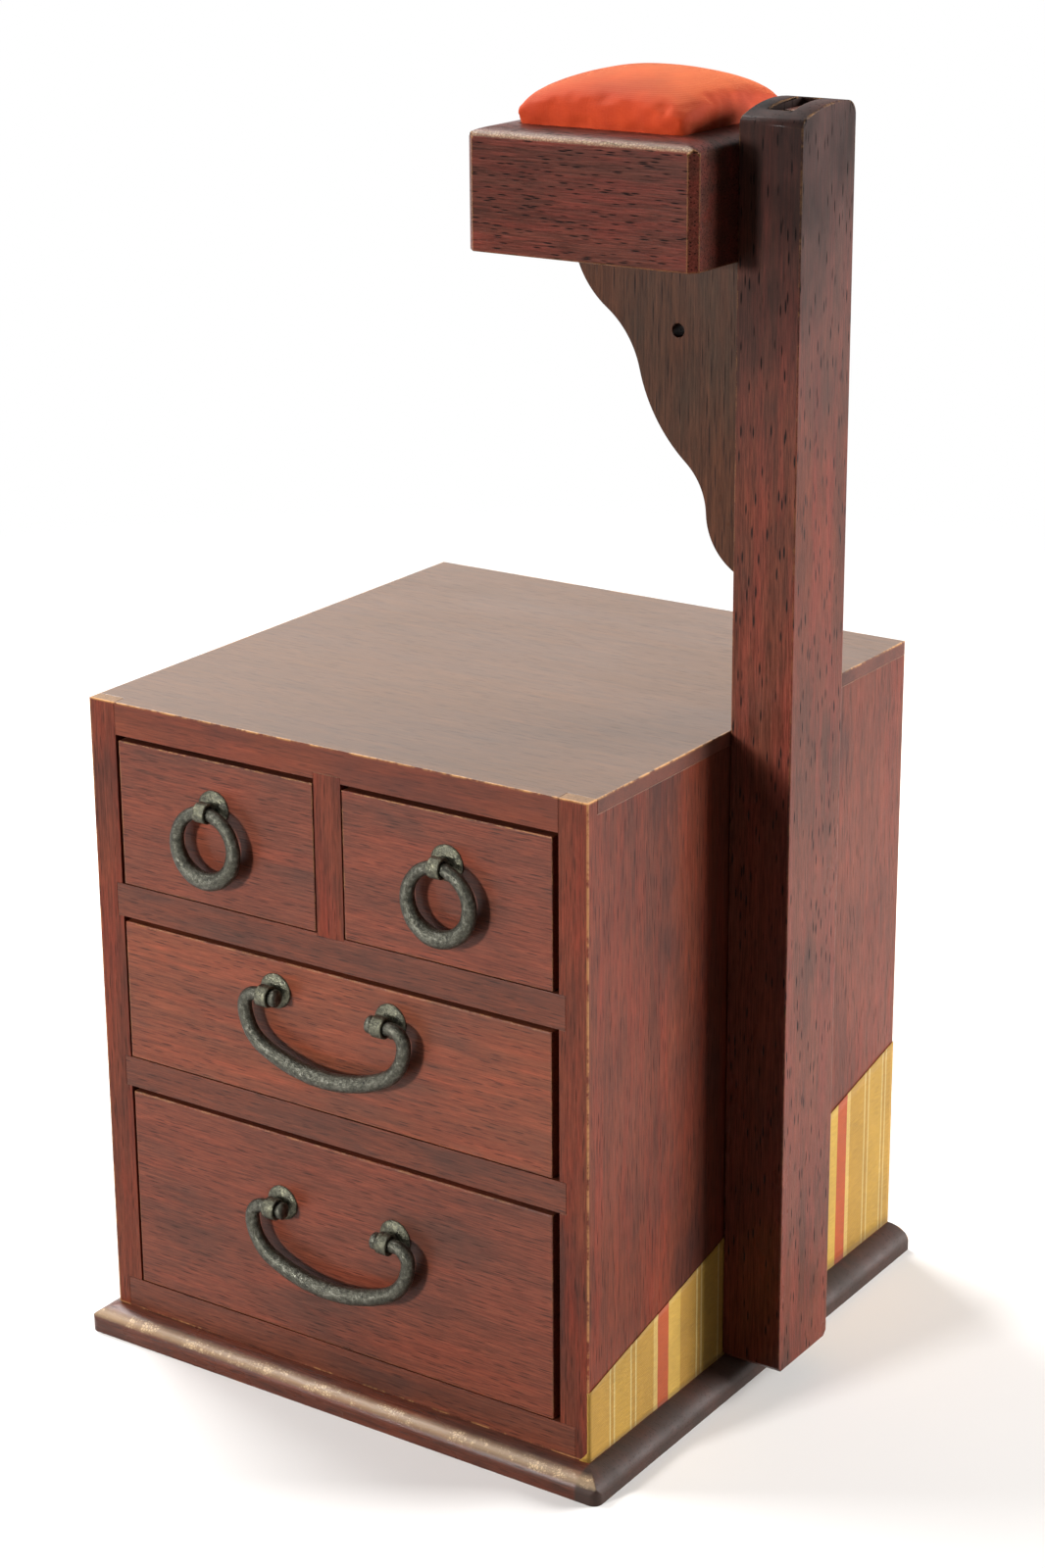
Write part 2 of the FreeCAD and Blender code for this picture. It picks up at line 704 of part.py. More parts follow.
def make_arm():
    """The wavy board under the pincushion block: a pad from a chain of arcs, with the hole for a cord."""
    body = document.addObject("PartDesign::Body", "arm_body")
    sketch = sketch_on(body, "arm_outline", "XZ_Plane")
    corners = [("arm_housing", "0"), ("-wave_reach_0", "0")]
    corners += [(f"-wave_reach_{turn}", f"-wave_drop_{turn}") for turn in range(1, WAVE_ARCS)]
    corners += [("0", f"-wave_drop_{WAVE_ARCS}"), ("arm_housing", f"-wave_drop_{WAVE_ARCS}")]
    points = [flat_point(*corner) for corner in corners]
    edges = []
    for index, start in enumerate(points):
        end = points[(index + 1) % len(points)]
        if 1 <= index <= WAVE_ARCS:
            turns_left = index % 2 == 1
            arc = arc_between(start, end, value(f"wave_radius_{index}"), turns_left)
            edge = sketch.addGeometry(arc, False)
            edges.append((edge, 1, 2) if turns_left else (edge, 2, 1))
        else:
            edges.append((sketch.addGeometry(Part.LineSegment(start, end), False), 1, 2))
    for index, (edge, _, last) in enumerate(edges):
        following, first, _ = edges[(index + 1) % len(edges)]
        sketch.addConstraint(Sketcher.Constraint("Coincident", edge, last, following, first))
    for index, (edge, first, _) in enumerate(edges):
        hold_point(sketch, f"corner_{index}", edge, first, *corners[index])
        if 1 <= index <= WAVE_ARCS:
            dimension(sketch, f"wave_{index}", f"wave_radius_{index}", "Radius", edge)
    document.recompute()
    pad = body.newObject("PartDesign::Pad", "arm_board")
    pad.Profile = sketch
    pad.Midplane = True
    bind(pad, {"Length": "arm_thickness"})
    place(body, "post_x", "post_y", "block_z")
    hole = rod(
        "arm_hole", Y_AXIS, "post_x - arm_hole_reach", "post_y - arm_thickness", "block_z - arm_hole_drop",
        "arm_hole_diameter", "2 * arm_thickness",
    )
    return cut("arm_holed", body, hole)


def make_post(arm):
    """The post: crowned at the top, grooved for the batten, slotted for the stick and housed for the arm."""
    depth = value("post_depth")
    height = value("post_height")
    chamfer = value("post_foot_chamfer")
    crown_radius = value("post_crown_radius")
    crown = flat_point("post_crown_setback", "post_height - post_crown_radius")
    corners = []
    for radius, centre_y in (
        (value("post_rear_rounding"), depth - value("post_rear_rounding")),
        (value("post_front_rounding"), value("post_front_rounding")),
    ):
        rise = math.sqrt((crown_radius - radius) ** 2 - (centre_y - crown.x) ** 2)
        corners.append((FreeCAD.Vector(centre_y, crown.y + rise, 0), radius))
    (rear, rear_radius), (front, front_radius) = corners
    rear_angle = math.atan2(rear.y - crown.y, rear.x - crown.x)
    front_angle = math.atan2(front.y - crown.y, front.x - crown.x)

    body = document.addObject("PartDesign::Body", "post_body")
    sketch = sketch_on(body, "post_outline", "YZ_Plane")
    foot = [FreeCAD.Vector(*point, 0) for point in (
        (0, chamfer), (chamfer, 0), (depth - chamfer, 0), (depth, chamfer),
    )]
    front_line, toe, sole, heel, rear_line = [
        sketch.addGeometry(Part.LineSegment(start, end), False) for start, end in (
            (FreeCAD.Vector(0, front.y, 0), foot[0]),
            (foot[0], foot[1]),
            (foot[1], foot[2]),
            (foot[2], foot[3]),
            (foot[3], FreeCAD.Vector(depth, rear.y, 0)),
        )
    ]
    rear_arc, crown_arc, front_arc = [
        sketch.addGeometry(Part.ArcOfCircle(Part.Circle(centre, Z_AXIS, radius), begin, end), False)
        for centre, radius, begin, end in (
            (rear, rear_radius, 0, rear_angle),
            (crown, crown_radius, rear_angle, front_angle),
            (front, front_radius, front_angle, math.pi),
        )
    ]
    for first, second in ((front_line, toe), (toe, sole), (sole, heel), (heel, rear_line)):
        sketch.addConstraint(Sketcher.Constraint("Coincident", first, 2, second, 1))
    for first, second in (
        (rear_line, rear_arc), (rear_arc, crown_arc), (crown_arc, front_arc), (front_arc, front_line),
    ):
        sketch.addConstraint(Sketcher.Constraint("Tangent", first, 2, second, 1))
    for upright in (front_line, rear_line):
        sketch.addConstraint(Sketcher.Constraint("Vertical", upright))
    hold_point(sketch, "toe_top", toe, 1, "0", "post_foot_chamfer")
    hold_point(sketch, "toe_foot", toe, 2, "post_foot_chamfer", "0")
    hold_point(sketch, "heel_foot", heel, 1, "post_depth - post_foot_chamfer", "0")
    hold_point(sketch, "heel_top", heel, 2, "post_depth", "post_foot_chamfer")
    hold_point(sketch, "crown_centre", crown_arc, 3, "post_crown_setback", "post_height - post_crown_radius")
    dimension(sketch, "crown", "post_crown_radius", "Radius", crown_arc)
    dimension(sketch, "rear_rounding", "post_rear_rounding", "Radius", rear_arc)
    dimension(sketch, "front_rounding", "post_front_rounding", "Radius", front_arc)
    document.recompute()
    pad = body.newObject("PartDesign::Pad", "post_board")
    pad.Profile = sketch
    bind(pad, {"Length": "post_width"})
    place(body, "post_x", "post_front_y", "base_thickness")

    groove = wedge(
        "post_groove", "batten_root_width + 2 * batten_clearance", "batten_face_width + 2 * batten_clearance",
        "batten_thickness + batten_clearance", "batten_height + batten_length + batten_clearance",
        "outer_x", "post_y", "base_thickness",
    )
    slot = box(
        "post_slot", "slot_x", "slot_y", "post_top - slot_depth",
        "slot_width", "slot_length", "slot_depth",
    )
    keep("post", cut("post_shaped", body, groove, slot, arm))


def make_stick():
    """The flat wooden measuring stick that is kept in the slot in the post's top."""
    keep("measuring_stick", box(
        "stick", "slot_x + (slot_width - stick_thickness) / 2",
        "slot_y + slot_length - stick_play - stick_width", "post_top - slot_depth",
        "stick_thickness", "stick_width", "stick_length",
    ))


def make_pincushion():
    """The square block on the arm, hollowed for its stuffed cushion, with the dowels and the cushion."""
    arm = make_arm()
    make_post(arm)
    dowels = []
    for reach in ("dowel_inset", "wave_reach_0 - dowel_inset"):
        dowels.append(rod(
            f"dowel_{len(dowels)}", Z_AXIS, f"post_x - ({reach})", "post_y", "block_z - dowel_length / 2",
            "dowel_diameter", "dowel_length",
        ))
    dowels = keep("block_dowels", group("dowel_pair", *dowels))
    keep("arm_bracket", cut("arm_doweled", arm, dowels))

    half = "(block_width / 2)"
    height = "(seat_z - block_z)"
    square = box(
        "block_square", f"block_x - {half}", f"post_y - {half}", "block_z",
        "block_width", "block_width", height,
    )
    diamond_side = "((2 * block_width - 2 * block_corner_chamfer) / sqrt(2))"
    diamond = box("block_diamond", 0, 0, 0, diamond_side, diamond_side, height)
    place(diamond, "block_x", f"post_y - {diamond_side} / sqrt(2)", "block_z", FreeCAD.Rotation(Z_AXIS, 45))
    chamfered = join("block_chamfered", "Part::MultiCommon", square, diamond)
    edges = []
    for name, side_x, side_y, turn in (
        ("front", 0, -1, 0), ("right", 1, 0, 90), ("back", 0, 1, 180), ("left", -1, 0, -90),
    ):
        edges.append(eased_edge(
            f"block_{name}_edge", "block_width", "block_edge_width", "block_edge_height",
            f"block_x + {side_x} * {half}", f"post_y + {side_y} * {half}", "seat_z", turn,
        ))
    recess = box(
        "block_recess", "block_x - recess_width / 2", "post_y - recess_width / 2", "seat_z - recess_depth",
        "recess_width", "recess_width", "recess_depth",
    )
    keep("pincushion_block", cut("block_shaped", chamfered, *edges, recess, dowels))
    make_cushion()


def pillow_outline(height, half, corner, bow):
    """A level section of the cushion: four bowed sides joined by four corner arcs."""
    flat = half - corner
    bulge = corner * math.sqrt(0.5)
    edges = []
    for turn in range(4):
        spin = FreeCAD.Rotation(Z_AXIS, 90 * turn)
        side = [(half, -flat), (half + bow, 0), (half, flat)]
        bend = [(half, flat), (flat + bulge, flat + bulge), (flat, half)]
        for points in (side, bend):
            spots = [spin.multVec(FreeCAD.Vector(x, y, height)) for x, y in points]
            edges.append(Part.Arc(*spots).toShape())
    return Part.Wire(edges)


def make_cushion():
    """The stuffed cushion: sides drawn in between full corners, and crowned over the middle."""
    foot = value("recess_width / 2 - cushion_clearance")
    full = foot + value("cushion_bulge")
    corner = value("cushion_corner_radius")
    draw = value("cushion_side_draw")
    shoulder = value("cushion_corner_height")
    rise = value("cushion_height") - shoulder
    sections = [
        pillow_outline(value("cushion_clearance - recess_depth"), foot, corner, -draw * SEATED_DRAW),
        pillow_outline(0, foot, corner, -draw * SEATED_DRAW),
        pillow_outline(value("cushion_bulge_height"), full, corner, -draw),
    ]
    for level in range(CUSHION_LEVELS):
        angle = math.pi / 2 * level / CUSHION_LEVELS
        half = full * math.cos(angle) ** CUSHION_FULLNESS
        roundness = corner / full + (CROWN_ROUNDNESS - corner / full) * math.sin(angle)
        height = shoulder + rise * math.sin(angle)
        sections.append(pillow_outline(height, half, half * roundness, -draw * math.cos(angle)))
    cushion = document.addObject("Part::Feature", "cushion_stuffed")
    cushion.Shape = Part.makeLoft(sections, True, True)
    keep("pincushion", place(cushion, "block_x", "post_y", "seat_z"))


def check_and_write():
    """Stops on any failed object, then writes one STEP file for each piece."""
    document.recompute()
    failed = [item.Label for item in document.Objects if {"Invalid", "Error"} & set(item.State)]
    failed += [item.Label for item in pieces if item.Shape.isNull() or not item.Shape.isValid()]
    if failed:
        raise RuntimeError("these objects failed: " + ", ".join(failed))
    os.makedirs("parts", exist_ok=True)
    for item in pieces:
        item.Shape.exportStep(f"parts/{item.Label}.step")
        print(item.Label, len(item.Shape.Solids), round(item.Shape.Volume))


document = FreeCAD.newDocument("NeedleworkChest")
sheet = document.addObject("Spreadsheet::Sheet", "Sizes")
for row, (size_name, size) in enumerate(SIZES.items(), start=1):
    sheet.set(f"A{row}", size_name)
    sheet.set(f"B{row}", str(size))
    sheet.setAlias(f"B{row}", size_name)
document.recompute()

pieces = []
make_chest()
make_cloth()
for drawer_name in ("small_left", "small_right"):
    make_drawer(drawer_name, make_ring_pull(drawer_name))
for drawer_name in ("medium", "large"):
    make_drawer(drawer_name, make_bail_pull(drawer_name))
make_pincushion()
make_stick()
check_and_write()
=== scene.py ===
"""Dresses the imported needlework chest: finishes, pulls, cloth, pincushion, light and camera.

Every length in this file is in millimetres in the chest's own frame, with +Z up, +Y to the back and the
post on the +X side, and becomes metres where it meets the scene.
"""
from __future__ import annotations

import logging
import math
from collections.abc import Iterable, Sequence
from dataclasses import dataclass, field
from enum import Enum

import bpy
import numpy as np
from mathutils import Matrix, Vector, noise


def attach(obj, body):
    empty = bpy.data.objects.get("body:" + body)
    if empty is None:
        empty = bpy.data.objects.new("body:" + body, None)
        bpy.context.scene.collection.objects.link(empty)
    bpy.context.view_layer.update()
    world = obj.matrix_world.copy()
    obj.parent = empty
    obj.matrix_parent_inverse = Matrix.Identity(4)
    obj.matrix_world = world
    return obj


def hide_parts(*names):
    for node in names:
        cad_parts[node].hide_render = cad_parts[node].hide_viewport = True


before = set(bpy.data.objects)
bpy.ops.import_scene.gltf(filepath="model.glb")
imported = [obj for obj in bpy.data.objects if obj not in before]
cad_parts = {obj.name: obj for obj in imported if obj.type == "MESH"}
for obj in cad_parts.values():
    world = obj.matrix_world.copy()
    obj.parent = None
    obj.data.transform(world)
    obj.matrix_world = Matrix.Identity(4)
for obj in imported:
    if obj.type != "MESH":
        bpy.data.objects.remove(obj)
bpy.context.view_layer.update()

LOG = logging.getLogger("needlework_chest")
MM = 0.001
# where the random field is read for each direction; Blender's own vector noise changes from run to run
FIELD_OFFSETS = (Vector((9.3, -1.5, -7.9)), Vector((-2.7, 6.1, 4.4)), Vector((5.2, -8.8, 12.6)))
Point = tuple[float, float, float]
Skin = tuple[np.ndarray, list]
Socket = bpy.types.NodeSocket
Tree = bpy.types.NodeTree

# where the case is, which several pieces and finishes meet
CASE_FRONT = -108.5
CASE_BACK = 118.5
CASE_SIDE = 110
CASE_FOOT = 10
CASE_TOP = 260
CASE = ((-CASE_SIDE, CASE_FRONT, CASE_FOOT), (CASE_SIDE, CASE_BACK, CASE_TOP))


class Grain(Enum):
    """The way that a board's grain runs."""

    ACROSS = 0
    DEEP = 1
    UPRIGHT = 2


def linear(colour: str) -> tuple[float, float, float, float]:
    """Turns an sRGB hex colour into linear light.

    Args:
        colour: Six hex digits after a hash sign.

    Returns:
        Red, green and blue as linear values, and an alpha of one.
    """
    parts = [int(colour[i:i + 2], 16) / 255 for i in (1, 3, 5)]
    light = [c / 12.92 if c <= 0.04045 else ((c + 0.055) / 1.055) ** 2.4 for c in parts]
    return (*light, 1.0)


def add_node(tree: Tree, kind: str, inputs: dict | None = None, output: int | str = 0,
             **settings: object) -> Socket | None:
    """Adds one shader node with its settings and links.

    Args:
        tree: The material's or world's node tree.
        kind: The node's type, without its ShaderNode prefix.
        inputs: A value, or an output to link, for each input named or numbered.
        output: Which of the node's outputs is wanted.
        settings: The node's own settings; stops holds a colour ramp's places and colours.

    Returns:
        That output, which knows its node, or None for a node that has no outputs.
    """
    node = tree.nodes.new("ShaderNode" + kind)
    stops = settings.pop("stops", ())
    for name, value in settings.items():
        setattr(node, name, value)
    for name, value in (inputs or {}).items():
        if isinstance(value, Socket):
            tree.links.new(value, node.inputs[name])
        else:
            node.inputs[name].default_value = value
    for number, (place, colour) in enumerate(stops):
        elements = node.color_ramp.elements
        stop = elements[number] if number < 2 else elements.new(place)
        stop.position = place
        stop.color = linear(colour)
    return node.outputs[output] if len(node.outputs) else None


def new_mesh(name: str, points: Sequence[Sequence[float]], faces: Iterable[Sequence[int]]) -> bpy.types.Object:
    """Makes a smooth mesh object from points in millimetres.

    Args:
        name: The object's name.
        points: The corners, in millimetres.
        faces: The corner numbers of each face.

    Returns:
        The object, in the scene.
    """
    mesh = bpy.data.meshes.new(name)
    mesh.from_pydata((np.asarray(points, float) * MM).tolist(), [], [list(face) for face in faces])
    mesh.shade_smooth()
    mesh.validate()
    item = bpy.data.objects.new(name, mesh)
    bpy.context.scene.collection.objects.link(item)
    return item


def roughen(points: np.ndarray, size: float, depth: float, seed: float) -> np.ndarray:
    """Moves points a little along a smooth random field, as hammering or handling does.

    Args:
        points: The points, in millimetres.
        size: How far apart the dents are.
        depth: The most that a point moves.
        seed: Where in the field this piece lies.

    Returns:
        The moved points.
    """
    places = [Vector(p) / size + Vector((seed, seed * 2, seed * 3)) for p in points]
    return points + depth * np.array([[noise.noise(place + offset) for offset in FIELD_OFFSETS] for place in places])


def skin_faces(rings: int, sides: int, closed: bool = False) -> list[tuple[int, ...]]:
    """Joins rings of points into a skin.

    Args:
        rings: How many rings there are.
        sides: How many points each has.
        closed: Whether the last ring meets the first; otherwise both ends are capped.

    Returns:
        The corner numbers of each face.
    """
    faces = []
    for ring in range(rings if closed else rings - 1):
        here, after = ring * sides, (ring + 1) % rings * sides
        for side in range(sides):
            turn = (side + 1) % sides
            faces.append((here + side, here + turn, after + turn, after + side))
    if not closed:
        faces.append(tuple(range(sides))[::-1])
        faces.append(tuple((rings - 1) * sides + side for side in range(sides)))
    return faces


def sweep(path: np.ndarray, sections: np.ndarray, closed: bool, flat: Point) -> Skin:
    """Carries a section along a path that lies in a plane.

    Args:
        path: The path's points.
        sections: For each path point, the section's points as (across the plane, outward in the plane).
        closed: Whether the path's end meets its start.
        flat: The plane's normal.

    Returns:
        The skin's points and faces, with both ends capped on an open path.
    """
    ahead = np.roll(path, -1, 0) - np.roll(path, 1, 0)
    if not closed:
        ahead[0] = path[1] - path[0]
        ahead[-1] = path[-1] - path[-2]
    ahead /= np.linalg.norm(ahead, axis=1)[:, None]
    outward = np.cross(ahead, flat)
    points = path[:, None] + sections[..., :1] * np.array(flat) + sections[..., 1:] * outward[:, None]
    return points.reshape(-1, 3), skin_faces(len(path), sections.shape[1], closed)


def merge(skins: Sequence[Skin]) -> Skin:
    """Puts several skins into one.

    Args:
        skins: The points and faces of each.

    Returns:
        All points and all faces.
    """
    points, faces, start = [], [], 0
    for some, theirs in skins:
        points.append(some)
        faces += [tuple(start + corner for corner in face) for face in theirs]
        start += len(some)
    return np.concatenate(points), faces


# ---- finishes


@dataclass(frozen=True)
class Finish:
    """What a piece is made of and how its surface was made."""

    name: str

    def shade(self, tree: Tree) -> Socket:
        """Links up the finish in an empty tree and returns its shader."""
        raise NotImplementedError

    def build(self) -> bpy.types.Material:
        """Makes the finish's material.

        Returns:
            The material.
        """
        material = bpy.data.materials.new(self.name)
        material.use_nodes = True
        tree = material.node_tree
        tree.nodes.clear()
        add_node(tree, "OutputMaterial", {"Surface": self.shade(tree)})
        return material


@dataclass(frozen=True)
class Wood(Finish):
    """A board, whose patterns run along its grain."""

    grain: Grain
    log_step: Point = (0.37, 0.53, 0.71)

    def place(self, tree: Tree, spot: Socket) -> Socket:
        """Moves each board to its own place in the log, so that no two look alike.

        Args:
            tree: The material's node tree.
            spot: The place on the surface.

        Returns:
            The place in the log.
        """
        board = add_node(tree, "ObjectInfo", output="Object Index")
        shift = add_node(tree, "VectorMath", {0: board, 1: self.log_step}, operation="MULTIPLY")
        return add_node(tree, "VectorMath", {0: spot, 1: shift})

    def drawn(self, tree: Tree, place: Socket, along: float, across: float) -> Socket:
        """Stretches the place for a pattern that is longer along the grain.

        Args:
            tree: The material's node tree.
            place: The place in the log.
            along: The pattern's size along the grain, in millimetres.
            across: Its size across the grain, in millimetres.

        Returns:
            The stretched place.
        """
        scales = [1 / (across * MM)] * 3
        scales[self.grain.value] = 1 / (along * MM)
        return add_node(tree, "VectorMath", {0: place, 1: tuple(scales)}, operation="MULTIPLY")


@dataclass(frozen=True)
class Face:
    """What every layer of a board's finish needs.

    The spot lies in the chest and the place in the log. The wipe holds the stain's smudges, and rubbed is where
    hands and knocks have reached.
    """

    tree: Tree
    spot: Socket
    place: Socket
    normal: Socket
    rounded: Socket
    wipe: Socket
    rubbed: Socket


@dataclass(frozen=True)
class StainedWood(Wood):
    """Open-pored hardwood, planed, stained red-brown and rubbed with thin lacquer."""

    # the stain, from its deepest smudges to its reddest patches, and what shows where it is worn or dirty or where
    # sheen, glint, highlight or shade is painted on
    smoke: str = "#5C3022"
    ground: str = "#653523"
    red: str = "#713724"
    pore: str = "#1A0B07"
    worn_and_glint: str = "#C9935C"
    dust_and_shade_colour: str = "#2A211C"
    crazed_highlight: str = "#C8AB86"
    faded_and_sheen: str | None = None
    # sizes of the patterns in millimetres, along and across the grain where there are two
    smudge: tuple[float, float] = (64, 32)
    flame: tuple[float, float] = (60, 7)
    rings: tuple[float, float] = (180, 4)
    fibres: tuple[float, float] = (14, 0.6)
    pore_length: float = 7
    pore_spacing: float = 1.1
    knock: float = 8
    scale: float = 1.3
    arris: float = 0.8
    worn_band: tuple[float, float] = (0.2, 0.85)
    relief: float = 0.05
    # strengths of the patterns, as shares
    ring: float = 0.14
    fibre: float = 0.55
    pore_size: float = 0.28
    pore_depth: float = 0.65
    wear_and_glint: float = 0.5
    crackle_and_highlight: float = 0
    # the lacquer
    roughness: float = 0.34
    specular: float = 0.19
    gloss: float = 0.08
    # the case's outer faces, for a board that meets others flush, and past where a board turns darker and duller:
    # dust on the base, painted shade on the upper post
    hull: tuple[Point, Point] | None = None
    darker_past: float | None = None
    darker_axis: str = "X"
    darker_fade: float = 1

    def stain(self, face: Face) -> tuple[Socket, Socket | float]:
        """Draws the stain with its smudges and redder patches.

        Args:
            face: The board's face.

        Returns:
            The colour, and how much lustre the lacquer has kept.
        """
        tree = face.tree
        smudges = add_node(tree, "ValToRGB", {0: face.wipe}, stops=((0.32, self.smoke), (0.56, self.ground)))
        # patches drawn out along the grain, where the stain went in deeper
        patches = add_node(tree, "TexNoise", {
            "Vector": self.drawn(tree, face.place, *self.flame), "Scale": 1, "Detail": 6, "Roughness": 0.65,
        })
        glow = add_node(tree, "MapRange", {"Value": patches, "From Min": 0.45, "From Max": 0.8})
        colour = add_node(tree, "MixRGB", {"Fac": glow, "Color1": smudges, "Color2": linear(self.red)})
        if not self.faded_and_sheen:
            return colour, self.gloss
        # the face that looks up is paler and greyer, partly faded in the light, partly a painted sheen of the bright
        # surroundings it mirrors; dusting keeps it polished
        skyward = add_node(tree, "SeparateXYZ", {0: face.normal}, "Z")
        upper = add_node(tree, "MapRange", {"Value": skyward, "From Min": 0.5, "From Max": 0.9, "To Max": 0.9})
        lustre = add_node(tree, "Math", {0: upper, 1: self.gloss}, operation="MULTIPLY")
        return add_node(tree, "MixRGB", {"Fac": upper, "Color1": colour, "Color2": linear(self.faded_and_sheen)}), lustre

    def figure(self, face: Face, colour: Socket) -> tuple[Socket, Socket]:
        """Draws the figure: growth rings cut lengthwise as broad faint streaks, and fibres as thin ones.

        Args:
            face: The board's face.
            colour: The colour so far.

        Returns:
            The colour and the fibres.
        """
        tree = face.tree
        streaks = []
        for sizes, strength, detail, roughness in (
            (self.rings, self.ring, 3, 0.65), (self.fibres, self.fibre, 4, 0.8),
        ):
            streak = add_node(tree, "TexNoise", {
                "Vector": self.drawn(tree, face.place, *sizes), "Scale": 1, "Detail": detail, "Roughness": roughness,
            })
            streaks.append(add_node(tree, "MapRange", {
                "Value": streak, "From Min": 0.3, "From Max": 0.7, "To Min": 1 - strength, "To Max": 1 + strength,
            }))
        tone = add_node(tree, "Math", {0: streaks[0], 1: streaks[1]}, operation="MULTIPLY")
        return add_node(tree, "VectorMath", {0: colour, "Scale": tone}, operation="SCALE"), streaks[1]

    def pores(self, face: Face, colour: Socket) -> tuple[Socket, Socket]:
        """Draws the pores: short dark dashes, open vessels cut along their length.

        Args:
            face: The board's face.
            colour: The colour so far.

        Returns:
            The colour and the pores.
        """
        tree = face.tree
        cell = self.pore_length / (2 * self.pore_size)
        cells = add_node(tree, "TexVoronoi", {
            "Vector": self.drawn(tree, face.place, cell, self.pore_spacing), "Scale": 1,
        }, "Distance")
        dash = add_node(tree, "MapRange", {
            "Value": cells, "From Min": self.pore_size, "From Max": self.pore_size * 0.5,
        })
        dark = add_node(tree, "Math", {0: dash, 1: self.pore_depth}, operation="MULTIPLY")
        return add_node(tree, "MixRGB", {"Fac": dark, "Color1": colour, "Color2": linear(self.pore)}), dark

    def dust_and_shade(self, face: Face, colour: Socket) -> tuple[Socket, Socket | float]:
        """Darkens and dulls the board past a level along one axis: dust on the base's ledge, the top's right end, and
        painted shade on the upper post.

        Args:
            face: The board's face.
            colour: The colour so far.

        Returns:
            The colour and the darkening mask.
        """
        if self.darker_past is None:
            return colour, 0.0
        tree = face.tree
        past = add_node(tree, "SeparateXYZ", {0: face.spot}, self.darker_axis)
        beyond = add_node(tree, "MapRange", {
            "Value": past, "From Min": self.darker_past * MM, "From Max": (self.darker_past + self.darker_fade) * MM,
        })
        patches = add_node(tree, "MapRange", {
            "Value": face.wipe, "From Min": 0.3, "From Max": 0.6, "To Min": 1, "To Max": 0.75,
        })
        dust_and_shade = add_node(tree, "Math", {0: beyond, 1: patches}, operation="MULTIPLY")
        return add_node(tree, "MixRGB", {"Fac": dust_and_shade, "Color1": colour, "Color2": linear(self.dust_and_shade_colour)}), dust_and_shade

    def edges(self, face: Face) -> Socket:
        """Finds the arrises, where handling rubs.

        Args:
            face: The board's face.

        Returns:
            One on an arris and nothing away from it.
        """
        tree = face.tree
        if not self.hull:
            turn = add_node(tree, "VectorMath", {0: face.rounded, 1: face.normal}, "Value", operation="DOT_PRODUCT")
            return add_node(tree, "MapRange", {"Value": turn, "From Min": 0.995, "From Max": 0.88})
        # the boards of the case meet flush, so only its outer arrises count
        depths = []
        for axis, (low, high) in enumerate(zip(*self.hull)):
            spot = add_node(tree, "SeparateXYZ", {0: face.spot}, axis)
            after = add_node(tree, "Math", {0: spot, 1: low * MM}, operation="SUBTRACT")
            before = add_node(tree, "Math", {0: high * MM, 1: spot}, operation="SUBTRACT")
            depths.append(add_node(tree, "Math", {0: after, 1: before}, operation="MINIMUM"))
        least = add_node(tree, "Math", {0: depths[0], 1: depths[1]}, operation="MINIMUM")
        other = add_node(tree, "Math", {0: depths[0], 1: depths[1]}, operation="MAXIMUM")
        second = add_node(tree, "Math", {0: other, 1: depths[2]}, operation="MINIMUM")
        gap = add_node(tree, "Math", {0: least, 1: second}, operation="MAXIMUM")
        inner, outer = (depth * MM for depth in self.worn_band)
        return add_node(tree, "MapRange", {"Value": gap, "From Min": outer, "From Max": inner})

    def bare(self, face: Face, colour: Socket) -> Socket:
        """Rubs the lacquer through to bare wood on the arrises, most on those that look up; on the block it also
        paints a glint.

        Args:
            face: The board's face.
            colour: The colour so far.

        Returns:
            The colour.
        """
        tree = face.tree
        lift = add_node(tree, "SeparateXYZ", {0: face.rounded}, "Z")
        upward = add_node(tree, "MapRange", {
            "Value": lift, "From Min": -0.1, "From Max": 0.3, "To Min": 0.5, "To Max": 1,
        })
        bare = add_node(tree, "Math", {0: self.edges(face), 1: face.rubbed}, operation="MULTIPLY")
        shown = add_node(tree, "Math", {0: bare, 1: upward}, operation="MULTIPLY", use_clamp=True)
        return add_node(tree, "MixRGB", {"Fac": shown, "Color1": colour, "Color2": linear(self.worn_and_glint)})

    def craze_and_highlight(self, face: Face, colour: Socket) -> Socket:
        """Paints a pale band on the front round where it faces the lamps: partly lacquer crazed and rubbed pale,
        partly a painted highlight.

        Args:
            face: The board's face.
            colour: The colour so far.

        Returns:
            The colour.
        """
        tree = face.tree
        bands = []
        for axis, start, end in (("Z", 0.47, 0.7), ("Y", -0.3, -0.56)):
            aspect = add_node(tree, "SeparateXYZ", {0: face.rounded}, axis)
            bands.append(add_node(tree, "MapRange", {"Value": aspect, "From Min": start, "From Max": end}))
        cracks = add_node(tree, "TexVoronoi", {
            "Vector": face.spot, "Scale": 1 / (self.scale * MM),
        }, "Distance", feature="DISTANCE_TO_EDGE")
        scales = add_node(tree, "MapRange", {"Value": cracks, "From Min": 0.02, "From Max": 0.2})
        crazed_highlight = add_node(tree, "Math", {0: scales, 1: face.rubbed, 2: 0.45}, operation="MULTIPLY_ADD")
        # the band follows the normals that face the lamps above and in front, so it is a painted highlight broken by
        # cracks
        band = add_node(tree, "Math", {0: bands[0], 1: bands[1]}, operation="MULTIPLY")
        pale = add_node(tree, "Math", {0: band, 1: crazed_highlight}, operation="MULTIPLY")
        part = add_node(tree, "Math", {0: pale, 1: self.crackle_and_highlight}, operation="MULTIPLY", use_clamp=True)
        return add_node(tree, "MixRGB", {"Fac": part, "Color1": colour, "Color2": linear(self.crazed_highlight)})

